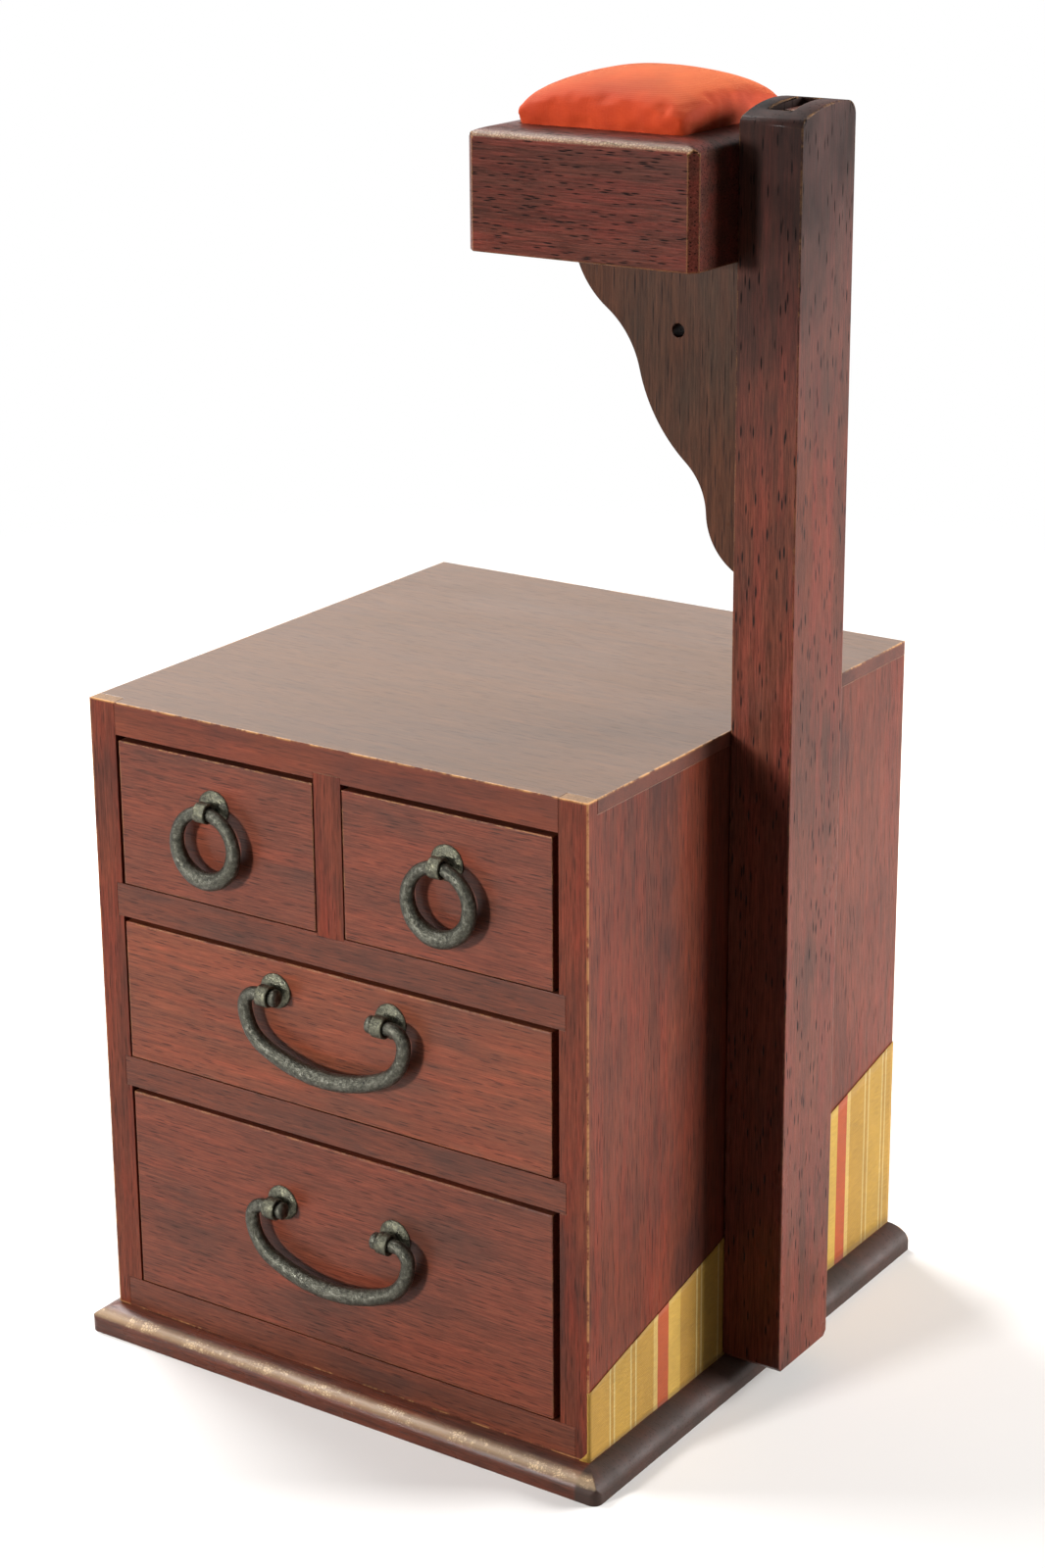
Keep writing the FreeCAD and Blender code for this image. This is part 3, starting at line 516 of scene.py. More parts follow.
    def face(self, tree: Tree) -> Face:
        """Makes the sockets that the layers share.

        Args:
            tree: The material's node tree.

        Returns:
            The board's face.
        """
        spot = add_node(tree, "TexCoord", output="Object")
        place = self.place(tree, spot)
        wipe = add_node(tree, "TexNoise", {
            "Vector": self.drawn(tree, place, *self.smudge), "Scale": 1, "Detail": 4, "Roughness": 0.6,
        })
        knocks = add_node(tree, "TexNoise", {
            "Vector": place, "Scale": 1 / (self.knock * MM), "Detail": 6, "Roughness": 0.8,
        })
        # the more wear and painted glint, the fainter the knocks that count
        least, most = 0.68 - 0.36 * self.wear_and_glint, 0.8 - 0.36 * self.wear_and_glint
        rubbed = add_node(tree, "MapRange", {"Value": knocks, "From Min": least, "From Max": most})
        normal = add_node(tree, "NewGeometry", output="Normal")
        rounded = add_node(tree, "Bevel", {"Radius": self.arris * MM}, samples=4)
        return Face(tree, spot, place, normal, rounded, wipe, rubbed)

    def shade(self, tree: Tree) -> Socket:
        """Links up the finish.

        Args:
            tree: The material's empty node tree.

        Returns:
            The shader.
        """
        face = self.face(tree)
        colour, lustre = self.stain(face)
        colour, fibres = self.figure(face, colour)
        colour, pores = self.pores(face, colour)
        colour, dust_and_shade = self.dust_and_shade(face, colour)
        colour = self.bare(face, colour)
        if self.crackle_and_highlight:
            colour = self.craze_and_highlight(face, colour)
        # hand-rubbed lacquer: fairly even, duller in the smudges, the pores and the dust and painted shade
        matt = add_node(tree, "MapRange", {
            "Value": face.wipe, "From Min": 0.3, "From Max": 0.7,
            "To Min": self.roughness * 1.25, "To Max": self.roughness * 0.85,
        })
        for layer, dulling in ((pores, 0.3), (dust_and_shade, 0.45)):
            matt = add_node(tree, "Math", {0: layer, 1: dulling, 2: matt}, operation="MULTIPLY_ADD")
        height = add_node(tree, "Math", {0: pores, 1: -1.2, 2: fibres}, operation="MULTIPLY_ADD")
        relief = add_node(tree, "Bump", {
            "Strength": 0.5, "Distance": self.relief * MM, "Height": height,
            "Normal": face.normal if self.hull else face.rounded,
        })
        return add_node(tree, "BsdfPrincipled", {
            "Base Color": colour, "Roughness": matt, "IOR": 1.5, "Normal": relief,
            "Coat Weight": lustre, "Coat Roughness": 0.18, "Specular IOR Level": self.specular,
        })


@dataclass(frozen=True)
class PlainWood(Wood):
    """Pale planed softwood inside the drawers, unfinished and a little soiled."""

    log_step: Point = (0.41, 0.59, 0.67)
    light: str = "#C29A6B"
    dark: str = "#A67E4F"
    rings: tuple[float, float] = (140, 4)
    relief: float = 0.1

    def shade(self, tree: Tree) -> Socket:
        """Links up the finish.

        Args:
            tree: The material's empty node tree.

        Returns:
            The shader.
        """
        place = self.place(tree, add_node(tree, "TexCoord", output="Object"))
        rings = add_node(tree, "TexNoise", {
            "Vector": self.drawn(tree, place, *self.rings), "Scale": 1, "Detail": 5, "Roughness": 0.6,
        })
        colour = add_node(tree, "ValToRGB", {0: rings}, stops=((0.35, self.dark), (0.6, self.light)))
        bump = add_node(tree, "Bump", {"Strength": 0.4, "Distance": self.relief * MM, "Height": rings})
        return add_node(tree, "BsdfPrincipled", {
            "Base Color": colour, "Roughness": 0.7, "IOR": 1.5, "Normal": bump,
        })


@dataclass(frozen=True)
class PatinatedBrass(Finish):
    """Cast and filed brass, darkened by a grey-green patina that is rubbed off the high spots."""

    dark: str = "#272621"
    patina: str = "#403F35"
    rubbed: str = "#6B6960"
    roughness: float = 0.31
    cloud: float = 1.6
    speckle: float = 0.6
    relief: float = 0.25

    def shade(self, tree: Tree) -> Socket:
        """Links up the finish.

        Args:
            tree: The material's empty node tree.

        Returns:
            The shader.
        """
        place = add_node(tree, "TexCoord", output="Object")
        cloud = add_node(tree, "TexNoise", {
            "Vector": place, "Scale": 1 / (self.cloud * MM), "Detail": 6, "Roughness": 0.75,
        })
        colour = add_node(tree, "ValToRGB", {0: cloud}, stops=(
            (0.36, self.dark), (0.7, self.rubbed), (0.5, self.patina),
        ))
        speckle = add_node(tree, "TexNoise", {
            "Vector": place, "Scale": 1 / (self.speckle * MM), "Detail": 3, "Roughness": 0.7,
        })
        matt = add_node(tree, "MapRange", {
            "Value": speckle, "From Min": 0.3, "From Max": 0.7,
            "To Min": self.roughness * 0.75, "To Max": self.roughness * 1.35,
        })
        pitted = add_node(tree, "Math", {0: cloud, 1: speckle})
        bump = add_node(tree, "Bump", {"Strength": 0.8, "Distance": self.relief * MM, "Height": pitted})
        return add_node(tree, "BsdfPrincipled", {
            "Base Color": colour, "Metallic": 0.75, "Roughness": matt, "Normal": bump,
        })


@dataclass(frozen=True)
class DrawnSteel(Finish):
    """Drawn steel wire of the hidden nails, dull grey."""

    colour: str = "#77746E"
    spots: float = 1.5

    def shade(self, tree: Tree) -> Socket:
        """Links up the finish.

        Args:
            tree: The material's empty node tree.

        Returns:
            The shader.
        """
        place = add_node(tree, "TexCoord", output="Object")
        spots = add_node(tree, "TexNoise", {"Vector": place, "Scale": 1 / (self.spots * MM), "Detail": 4})
        matt = add_node(tree, "MapRange", {"Value": spots, "To Min": 0.3, "To Max": 0.6})
        return add_node(tree, "BsdfPrincipled", {
            "Base Color": linear(self.colour), "Metallic": 1.0, "Roughness": matt,
        })


@dataclass(frozen=True)
class StripedCotton(Finish):
    """Gold ribbed cotton with woven stripes, glued to the side and a little shiny with age."""

    # the stripes mirror about the middle; each starts so far from it and runs to the next
    middle: float = CASE_FRONT + 117.5
    reach: float = 120
    thread: float = 0.7
    slub: tuple[float, float] = (5, 4.5)
    soil: float = 30
    relief: float = 0.2
    bands: tuple[tuple[float, str], ...] = (
        (0, "#9D7626"), (21.1, "#B3995D"), (22.1, "#987123"), (27.5, "#B3995D"), (28.5, "#A37D2B"),
        (39.5, "#B3995D"), (40.5, "#987123"), (42.7, "#B3995D"), (43.7, "#9A7222"), (55, "#B08B37"),
        (63.5, "#9B410F"), (71.1, "#B69550"), (74, "#9D7626"), (85.4, "#B3995D"), (86.4, "#987123"),
        (89, "#B3995D"), (90, "#A37D2B"), (100.1, "#B3995D"), (101.1, "#987123"), (103, "#B3995D"),
        (104, "#A0792B"),
    )

    def shade(self, tree: Tree) -> Socket:
        """Links up the finish.

        Args:
            tree: The material's empty node tree.

        Returns:
            The shader.
        """
        place = add_node(tree, "TexCoord", output="Object")
        depth = add_node(tree, "SeparateXYZ", {0: place}, "Y")
        away = add_node(tree, "Math", {0: depth, 1: self.middle * MM}, operation="SUBTRACT")
        side = add_node(tree, "Math", {0: away}, operation="ABSOLUTE")
        share = add_node(tree, "Math", {0: side, 1: 1 / (self.reach * MM)}, operation="MULTIPLY")
        stops = [(start / self.reach, colour) for start, colour in self.bands]
        stripes = add_node(tree, "ValToRGB", {0: share}, stops=stops)
        stripes.node.color_ramp.interpolation = "CONSTANT"
        # thicker weft threads show as short level flecks
        scales = tuple(1 / (size * MM) for size in (*self.slub, self.thread))
        slubs = add_node(tree, "VectorMath", {0: place, 1: scales}, operation="MULTIPLY")
        fleck = add_node(tree, "TexNoise", {"Vector": slubs, "Scale": 1, "Detail": 3, "Roughness": 0.6})
        soil = add_node(tree, "TexNoise", {"Vector": place, "Scale": 1 / (self.soil * MM), "Detail": 4})
        both = add_node(tree, "Math", {0: fleck, 1: soil})
        tone = add_node(tree, "MapRange", {
            "Value": both, "From Min": 0.7, "From Max": 1.3, "To Min": 0.78, "To Max": 1.22,
        })
        colour = add_node(tree, "VectorMath", {0: stripes, "Scale": tone}, operation="SCALE")
        # ribs of the weave, drawn at their real spacing of about three threads to two millimetres
        height = add_node(tree, "SeparateXYZ", {0: place}, "Z")
        turns = add_node(tree, "Math", {0: height, 1: math.tau / (self.thread * MM)}, operation="MULTIPLY")
        ribs = add_node(tree, "Math", {0: turns}, operation="SINE")
        weave = add_node(tree, "Math", {0: ribs, 1: 0.25, 2: fleck}, operation="MULTIPLY_ADD")
        bump = add_node(tree, "Bump", {"Strength": 0.5, "Distance": self.relief * MM, "Height": weave})
        return add_node(tree, "BsdfPrincipled", {
            "Base Color": colour, "Roughness": 0.7, "IOR": 1.45, "Normal": bump,
            "Sheen Weight": 0.04, "Sheen Roughness": 0.4,
        })


@dataclass(frozen=True)
class OrangeCotton(Finish):
    """Fine plain-woven cotton of the pincushion, dyed orange-red, pulled tight and soft to the eye."""

    light: str = "#B93B13"
    deep: str = "#A5300E"
    bloom: str = "#FFB070"
    cloud: float = 14
    thread: float = 0.55
    relief: float = 0.12

    def shade(self, tree: Tree) -> Socket:
        """Links up the finish.

        Args:
            tree: The material's empty node tree.

        Returns:
            The shader.
        """
        place = add_node(tree, "TexCoord", output="Object")
        cloud = add_node(tree, "TexNoise", {"Vector": place, "Scale": 1 / (self.cloud * MM), "Detail": 5})
        colour = add_node(tree, "ValToRGB", {0: cloud}, stops=((0.35, self.deep), (0.65, self.light)))
        # the weave, drawn about twice as coarse as it is so that it shows
        turned = add_node(tree, "VectorMath", {0: place, "Scale": math.tau / (self.thread * MM)}, operation="SCALE")
        waves = add_node(tree, "VectorMath", {0: turned}, operation="SINE")
        over, under, upright = add_node(tree, "SeparateXYZ", {0: waves}).node.outputs
        crossing = add_node(tree, "Math", {0: over, 1: under}, operation="MULTIPLY")
        level = add_node(tree, "Math", {0: upright, 1: 0.5, 2: crossing}, operation="MULTIPLY_ADD")
        bump = add_node(tree, "Bump", {"Strength": 0.35, "Distance": self.relief * MM, "Height": level})
        return add_node(tree, "BsdfPrincipled", {
            "Base Color": colour, "Roughness": 0.8, "IOR": 1.45, "Normal": bump, "Specular IOR Level": 0.28,
            "Sheen Weight": 0.4, "Sheen Roughness": 0.45, "Sheen Tint": linear(self.bloom),
        })


@dataclass(frozen=True)
class PaperFloor(Finish):
    """Matt paper that the chest stands on, which turns to plain white away from it."""

    seen: str = "#F6F4F1"
    lit: str = "#75716E"
    fade: tuple[float, float] = (600, 1300)

    def shade(self, tree: Tree) -> Socket:
        """Links up the finish.

        Args:
            tree: The material's empty node tree.

        Returns:
            The shader.
        """
        spot = add_node(tree, "TexCoord", output="Object")
        far = add_node(tree, "VectorMath", {0: spot}, "Value", operation="LENGTH")
        away = add_node(tree, "MapRange", {
            "Value": far, "From Min": self.fade[0] * MM, "From Max": self.fade[1] * MM,
        }, interpolation_type="SMOOTHSTEP")
        path = add_node(tree, "LightPath").node.outputs
        seen = add_node(tree, "Math", {0: path["Is Camera Ray"], 1: path["Is Glossy Ray"]}, operation="MAXIMUM")
        share = add_node(tree, "Math", {0: away, 1: seen}, operation="MULTIPLY")
        # it throws less light back than it shows, so that the wood above it keeps its depth
        tint = add_node(tree, "MixRGB", {"Fac": seen, "Color1": linear(self.lit), "Color2": linear(self.seen)})
        paper = add_node(tree, "BsdfDiffuse", {"Color": tint})
        white = add_node(tree, "Emission", {"Color": (1, 1, 1, 1), "Strength": 1.0})
        return add_node(tree, "MixShader", {0: share, 1: paper, 2: white})


# ---- pieces

Finishes = dict[str, bpy.types.Material]
# arrises are eased where faces meet at a sharper angle than this, in degrees, once their corners are joined
ARRIS_ANGLE = 50
WELD_GAP = 0.002
# the boards' numbers: the chest's from 0, then the drawers' and the post's
DRAWER_BOARDS_FROM = 20
DRAWER_BOARDS_EACH = 7
POST_BOARDS_FROM = 60


def ease_arrises(item: bpy.types.Object, radius: float) -> None:
    """Rounds a board's arrises.

    Args:
        item: The board.
        radius: Their radius, in millimetres.
    """
    weld = item.modifiers.new("joined_faces", "WELD")
    weld.merge_threshold = WELD_GAP * MM
    eased = item.modifiers.new("eased_arris", "BEVEL")
    eased.width = radius * MM
    eased.segments = 2
    eased.limit_method = "ANGLE"
    eased.angle_limit = math.radians(ARRIS_ANGLE)
    eased.use_clamp_overlap = False
    eased.harden_normals = True


def dress_boards(boards: Iterable[tuple[str, str, float]], finishes: Finishes, first: int) -> None:
    """Gives boards their finishes and their rounded arrises.

    Args:
        boards: Each board's name, its finish and the radius of its arrises, or 0 to leave them.
        finishes: The finishes by name.
        first: The first board's number. No two boards share one, so that each has its own grain.
    """
    for number, (node, finish, arris) in enumerate(boards, first):
        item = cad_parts[node]
        item.data.materials.clear()
        item.data.materials.append(finishes[finish])
        item.pass_index = number
        if arris:
            ease_arrises(item, arris)


def keep_metal(name: str, body: str, skins: Sequence[Skin], material: bpy.types.Material) -> None:
    """Adds one piece of a pull to the scene in place of its solid.

    Args:
        name: What the piece is called, which is also its solid's name.
        body: The body that it moves with.
        skins: Its points and faces.
        material: Its finish.
    """
    item = new_mesh("shaped_" + name, *merge(skins))
    item.data.materials.append(material)
    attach(item, body)
    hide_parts(name)


@dataclass
class SideCloth:
    """The striped cloth glued to the foot of the right side, rising to the back."""

    front: float = CASE_FRONT
    back: float = CASE_BACK
    side: float = CASE_SIDE
    foot: float = CASE_FOOT
    front_rise: float = 28
    back_rise: float = 81
    thickness: float = 0.4
    wrap: float = 3.5
    wrap_stand: float = 0.25
    pucker: float = 0.1
    fray: float = 0.15
    rolled_edge: float = 0.12
    rolled_width: float = 0.8
    columns: int = 116
    rows: int = 14

    def make(self, material: bpy.types.Material) -> None:
        """Lays the cloth on the side.

        Args:
            material: The cloth's finish.
        """
        points = []
        length = self.back - self.front
        for column in range(-1, self.columns + 1):
            share = max(column, 0) / self.columns
            rise = self.front_rise + (self.back_rise - self.front_rise) * share
            for row in range(self.rows + 1):
                up = row / self.rows
                y = self.front + length * share
                # glue has let the cloth pucker, and its cut edge is rolled and a little ragged
                ripple = self.pucker * noise.noise(Vector((y / 9, up * rise / 9, 3)))
                roll = self.rolled_edge * math.exp(-((1 - up) * rise / self.rolled_width) ** 2)
                x = self.side + self.thickness - self.pucker + ripple + roll
                z = self.foot + up * rise + self.fray * noise.noise(Vector((y / 5, up * 3, 8))) * up
                if column < 0:
                    # the front end is turned round the side's arris, furthest at its foot
                    x = self.side - self.thickness - self.wrap * max(0, 1 - up * rise / self.wrap)
                    y = self.front - self.wrap_stand
                points.append((x, y, z))
        step = self.rows + 1
        faces = [
            (c * step + r, (c + 1) * step + r, (c + 1) * step + r + 1, c * step + r + 1)
            for c in range(self.columns + 1) for r in range(self.rows)
        ]
        cloth = new_mesh("striped_side_cloth", points, faces)
        body = cloth.modifiers.new("cloth_body", "SOLIDIFY")
        body.thickness = (self.thickness - self.rolled_edge) * MM
        body.offset = -1
        cloth.data.materials.append(material)
        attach(cloth, "chest")
        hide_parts("side_cloth")


@dataclass
class Chest:
    """The case on its base board."""

    cloth: SideCloth = field(default_factory=SideCloth)

    def dress(self, finishes: Finishes) -> None:
        """Gives the case its finishes and its cloth.

        Args:
            finishes: The finishes by name.
        """
        boards = (
            ("base_board", "base", 0), ("left_side", "side", 0.25), ("right_side", "side", 0.25),
            ("top_board", "top", 0.2), ("bottom_rail", "rail", 0.25), ("lower_rail", "rail", 0.25),
            ("upper_rail", "rail", 0.25), ("drawer_divider", "side", 0.25), ("back_panel", "back", 0.3),
            ("post_batten", "post", 0), ("floor_board", "inside_across", 0), ("lower_shelf", "inside_across", 0),
            ("upper_shelf", "inside_across", 0), ("back_pins", "inside_deep", 0), ("batten_pegs", "inside_across", 0),
            ("base_nails", "steel", 0),
        )
        dress_boards(boards, finishes, 0)
        self.cloth.make(finishes["striped_cotton"])


@dataclass
class Pull:
    """What both kinds of pull share: eyes bent round a wire, and domed plates behind them."""

    x: float
    z: float
    front: float = CASE_FRONT
    standoff: float = 6
    plate_radius: float = 7
    plate_crown: float = 2
    plate_edge: float = 0.6
    eye_width: float = 5
    eye_strap: float = 1.3
    eye_corner: float = 0.35
    eye_slack: float = 0.1
    rim_waver: float = 0.025
    # how far apart each piece's dents are, and how deep
    plate_dents: tuple[float, float] = (2.5, 0.09)
    eye_dents: tuple[float, float] = (1.8, 0.1)
    wire_dents: tuple[float, float] = (6, 0.16)
    fine_dents: tuple[float, float] = (1.7, 0.07)
    plate_sides: int = 56
    wire_sides: int = 28

    def plate(self, x: float, seed: float) -> Skin:
        """A hammered dome with a thin, uneven rim.

        Args:
            x: Where its middle is.
            seed: Which one it is.

        Returns:
            Its points and faces.
        """
        # each ring's share of the radius, and its level as a share of the dome's height
        rings = (
            (0.02, 1), (0.25, 0.97), (0.5, 0.82), (0.72, 0.55), (0.88, 0.26), (0.96, 0.08), (1, -0.15), (1, -0.42),
        )
        dome = self.plate_crown - self.plate_edge
        points = []
        for share, level in rings:
            for step in range(self.plate_sides):
                angle = math.tau * step / self.plate_sides
                waver = 1 + noise.noise(Vector((math.cos(angle), math.sin(angle), seed)))
                radius = self.plate_radius * share * (1 - self.rim_waver * share * waver)
                y = self.front - self.plate_edge - dome * level
                points.append((x + radius * math.cos(angle), y, self.z + radius * math.sin(angle)))
        dented = roughen(np.array(points), *self.plate_dents, seed)
        dented[:, 1] = np.minimum(dented[:, 1], self.front)
        return dented, skin_faces(len(rings), self.plate_sides)

    def eye(self, x: float, wire: float, seed: float) -> Skin:
        """A strap bent round the wire, with both legs going into the front.

        Args:
            x: Where its middle is.
            wire: The diameter of the wire that it holds.
            seed: Which one it is.

        Returns:
            Its points and faces.
        """
        pivot_y = self.front - self.standoff
        bend = (wire + self.eye_strap) / 2 + self.eye_slack
        leg = self.eye_strap * 0.55
        meet = math.asin(leg / bend)
        # the legs start a millimetre deep in the front, a little above and below the wire's middle
        reach = self.standoff + 1 - bend * math.cos(meet)
        turn = [meet + (math.tau - 2 * meet) * step / 25 for step in range(1, 25)]
        path = [(x, self.front + 1 - reach * step / 4, self.z + leg) for step in range(5)]
        path += [(x, pivot_y + bend * math.cos(angle), self.z + bend * math.sin(angle)) for angle in turn]
        path += [(x, pivot_y + bend * math.cos(meet) + reach * step / 4, self.z - leg) for step in range(5)]
        corner = self.eye_corner
        half, thick = self.eye_width / 2 - corner, self.eye_strap / 2 - corner
        section = []
        for cx, cy, start in ((1, 1, 0), (-1, 1, 90), (-1, -1, 180), (1, -1, 270)):
            for step in range(4):
                angle = math.radians(start + 30 * step)
                section.append((cx * half + corner * math.cos(angle), cy * thick + corner * math.sin(angle)))
        sections = np.repeat(np.array(section)[None], len(path), 0)
        points, faces = sweep(np.array(path), sections, False, (1, 0, 0))
        return roughen(points, *self.eye_dents, seed), faces

    def wire(self, path: np.ndarray, radii: np.ndarray, closed: bool, seed: float) -> Skin:
        """A round bar along the pull's path, hammered a little out of round.

        Args:
            path: The path's points.
            radii: The bar's radius at each point.
            closed: Whether it is a ring.
            seed: Which one it is.

        Returns:
            Its points and faces.
        """
        turns = np.linspace(0, math.tau, self.wire_sides, endpoint=False)
        circle = np.stack([np.cos(turns), np.sin(turns)], 1)
        # the bar is thinner by half the dents' depth, so that its bumps end where the plain bar would
        sections = (radii - self.wire_dents[1] / 2)[:, None, None] * circle[None]
        points, faces = sweep(path, sections, closed, (0, 1, 0))
        points = roughen(points, *self.wire_dents, seed)
        return roughen(points, *self.fine_dents, seed + 5), faces


@dataclass
class RingPull(Pull):
    """A ring that hangs in one eye."""

    radius: float = 13.2
    top_wire: float = 5
    low_wire: float = 7
    steps: int = 120

    def make(self, name: str, drawer: str, finishes: Finishes, seed: float) -> None:
        """Makes the ring, its eye and its plate.

        Args:
            name: The drawer's name.
            drawer: The body that the eye is fixed to.
            finishes: The finishes by name.
            seed: Which pull it is.
        """
        name += "_ring"
        angles = np.linspace(0, math.tau, self.steps, endpoint=False)
        path = np.stack([
            self.x + self.radius * np.sin(angles),
            np.full(self.steps, self.front - self.standoff),
            self.z + self.radius * (np.cos(angles) - 1),
        ], 1)
        low = (1 - np.cos(angles)) / 2
        radii = (self.top_wire + (self.low_wire - self.top_wire) * low ** 2) / 2
        plate_brass = finishes["plate_brass"]
        keep_metal(name, name, [self.wire(path, radii, True, seed)], finishes["dark_brass"])
        keep_metal(f"{name}_eye", drawer, [self.eye(self.x, self.top_wire, seed)], plate_brass)
        keep_metal(f"{name}_plate", drawer, [self.plate(self.x, seed)], plate_brass)


@dataclass
class BailPull(Pull):
    """A bow-shaped handle that swings in two eyes."""

    half_span: float = 26
    wire_size: float = 5.4
    middle_wire: float = 6.8
    bead: float = 6.6
    bead_length: float = 3
    eye_gap: float = 0.2
    straight: float = 4.5
    corner_radius: float = 5.5
    side_radius: float = 17
    side_angle: float = 63.4

    def half_path(self) -> list[tuple[float, float, float]]:
        """The right half of the handle's line.

        Returns:
            Distance from the middle, drop from the pivot and wire radius, from the bead to the middle.
        """
        bead_end = self.half_span - self.eye_width / 2 - self.eye_gap
        bead_start = bead_end - self.bead_length
        bend_x = self.half_span + self.straight
        bead, wire = self.bead / 2, self.wire_size / 2
        line = [(bead_start, 0.0, bead * 0.55), (bead_start + 0.25, 0.0, bead * 0.86),
                (bead_start + 0.7, 0.0, bead), (bead_end - 0.6, 0.0, bead), (bead_end - 0.15, 0.0, bead * 0.85),
                (bead_end, 0.0, wire)]
        line += [(bead_end + (bend_x - bead_end) * step / 6, 0.0, wire) for step in range(1, 6)]
        side = math.radians(self.side_angle)
        side_x = bend_x + self.corner_radius - self.side_radius
        foot_x = side_x + self.side_radius * math.cos(side)
        foot_z = -self.corner_radius - self.side_radius * math.sin(side)
        sweep_radius = foot_x / math.cos(side)
        arcs = (
            (bend_x, -self.corner_radius, self.corner_radius, math.pi / 2, 0, 10),
            (side_x, -self.corner_radius, self.side_radius, 0, -side, 16),
            (0, foot_z + sweep_radius * math.sin(side), sweep_radius, -side, -math.pi / 2, 24),
        )
        lowest = arcs[2][1] - sweep_radius
        for centre_x, centre_z, radius, begin, end, steps in arcs:
            for step in range(steps):
                angle = begin + (end - begin) * step / steps
                z = centre_z + radius * math.sin(angle)
                swell = (self.middle_wire - self.wire_size) / 2 * (z / lowest) ** 2
                line.append((centre_x + radius * math.cos(angle), z, wire + swell))
        line.append((0.0, lowest, self.middle_wire / 2))
        return line

    def make(self, name: str, drawer: str, finishes: Finishes, seed: float) -> None:
        """Makes the handle, its eyes and its plates.

        Args:
            name: The drawer's name.
            drawer: The body that the eyes are fixed to.
            finishes: The finishes by name.
            seed: Which pull it is.
        """
        name += "_bail"
        right = self.half_path()
        left = [(-x, z, r) for x, z, r in right[:-1]]
        line = np.array(left + right[::-1])
        depth = np.full(len(line), self.front - self.standoff)
        path = np.stack([self.x + line[:, 0], depth, self.z + line[:, 1]], 1)
        keep_metal(name, name, [self.wire(path, line[:, 2], False, seed)], finishes["dark_brass"])
        sides = (self.x - self.half_span, self.x + self.half_span)
        plate_brass = finishes["plate_brass"]
        keep_metal(f"{name}_eyes", drawer, [self.eye(x, self.wire_size, seed + x) for x in sides], plate_brass)
        keep_metal(f"{name}_plates", drawer, [self.plate(x, seed + x) for x in sides], plate_brass)


@dataclass
class Drawer:
    """One drawer with its pull."""

    name: str
    pull: RingPull | BailPull
    number: int
    front_finish: str = "drawer_front"

    def dress(self, finishes: Finishes) -> None:
        """Gives the drawer its finishes and its pull.

        Args:
            finishes: The finishes by name.
        """
        body = f"{self.name}_drawer"
        boards = (
            ("front", self.front_finish, 0.5), ("left_side", "inside_deep", 0.3), ("right_side", "inside_deep", 0.3),
            ("back", "inside_across", 0.3), ("bottom", "inside_across", 0), ("pins", "inside_deep", 0),
        )
        first = DRAWER_BOARDS_FROM + DRAWER_BOARDS_EACH * self.number
        dress_boards(((f"{body}_{part}", finish, arris) for part, finish, arris in boards), finishes, first)
        self.pull.make(self.name, body, finishes, self.number + 1)


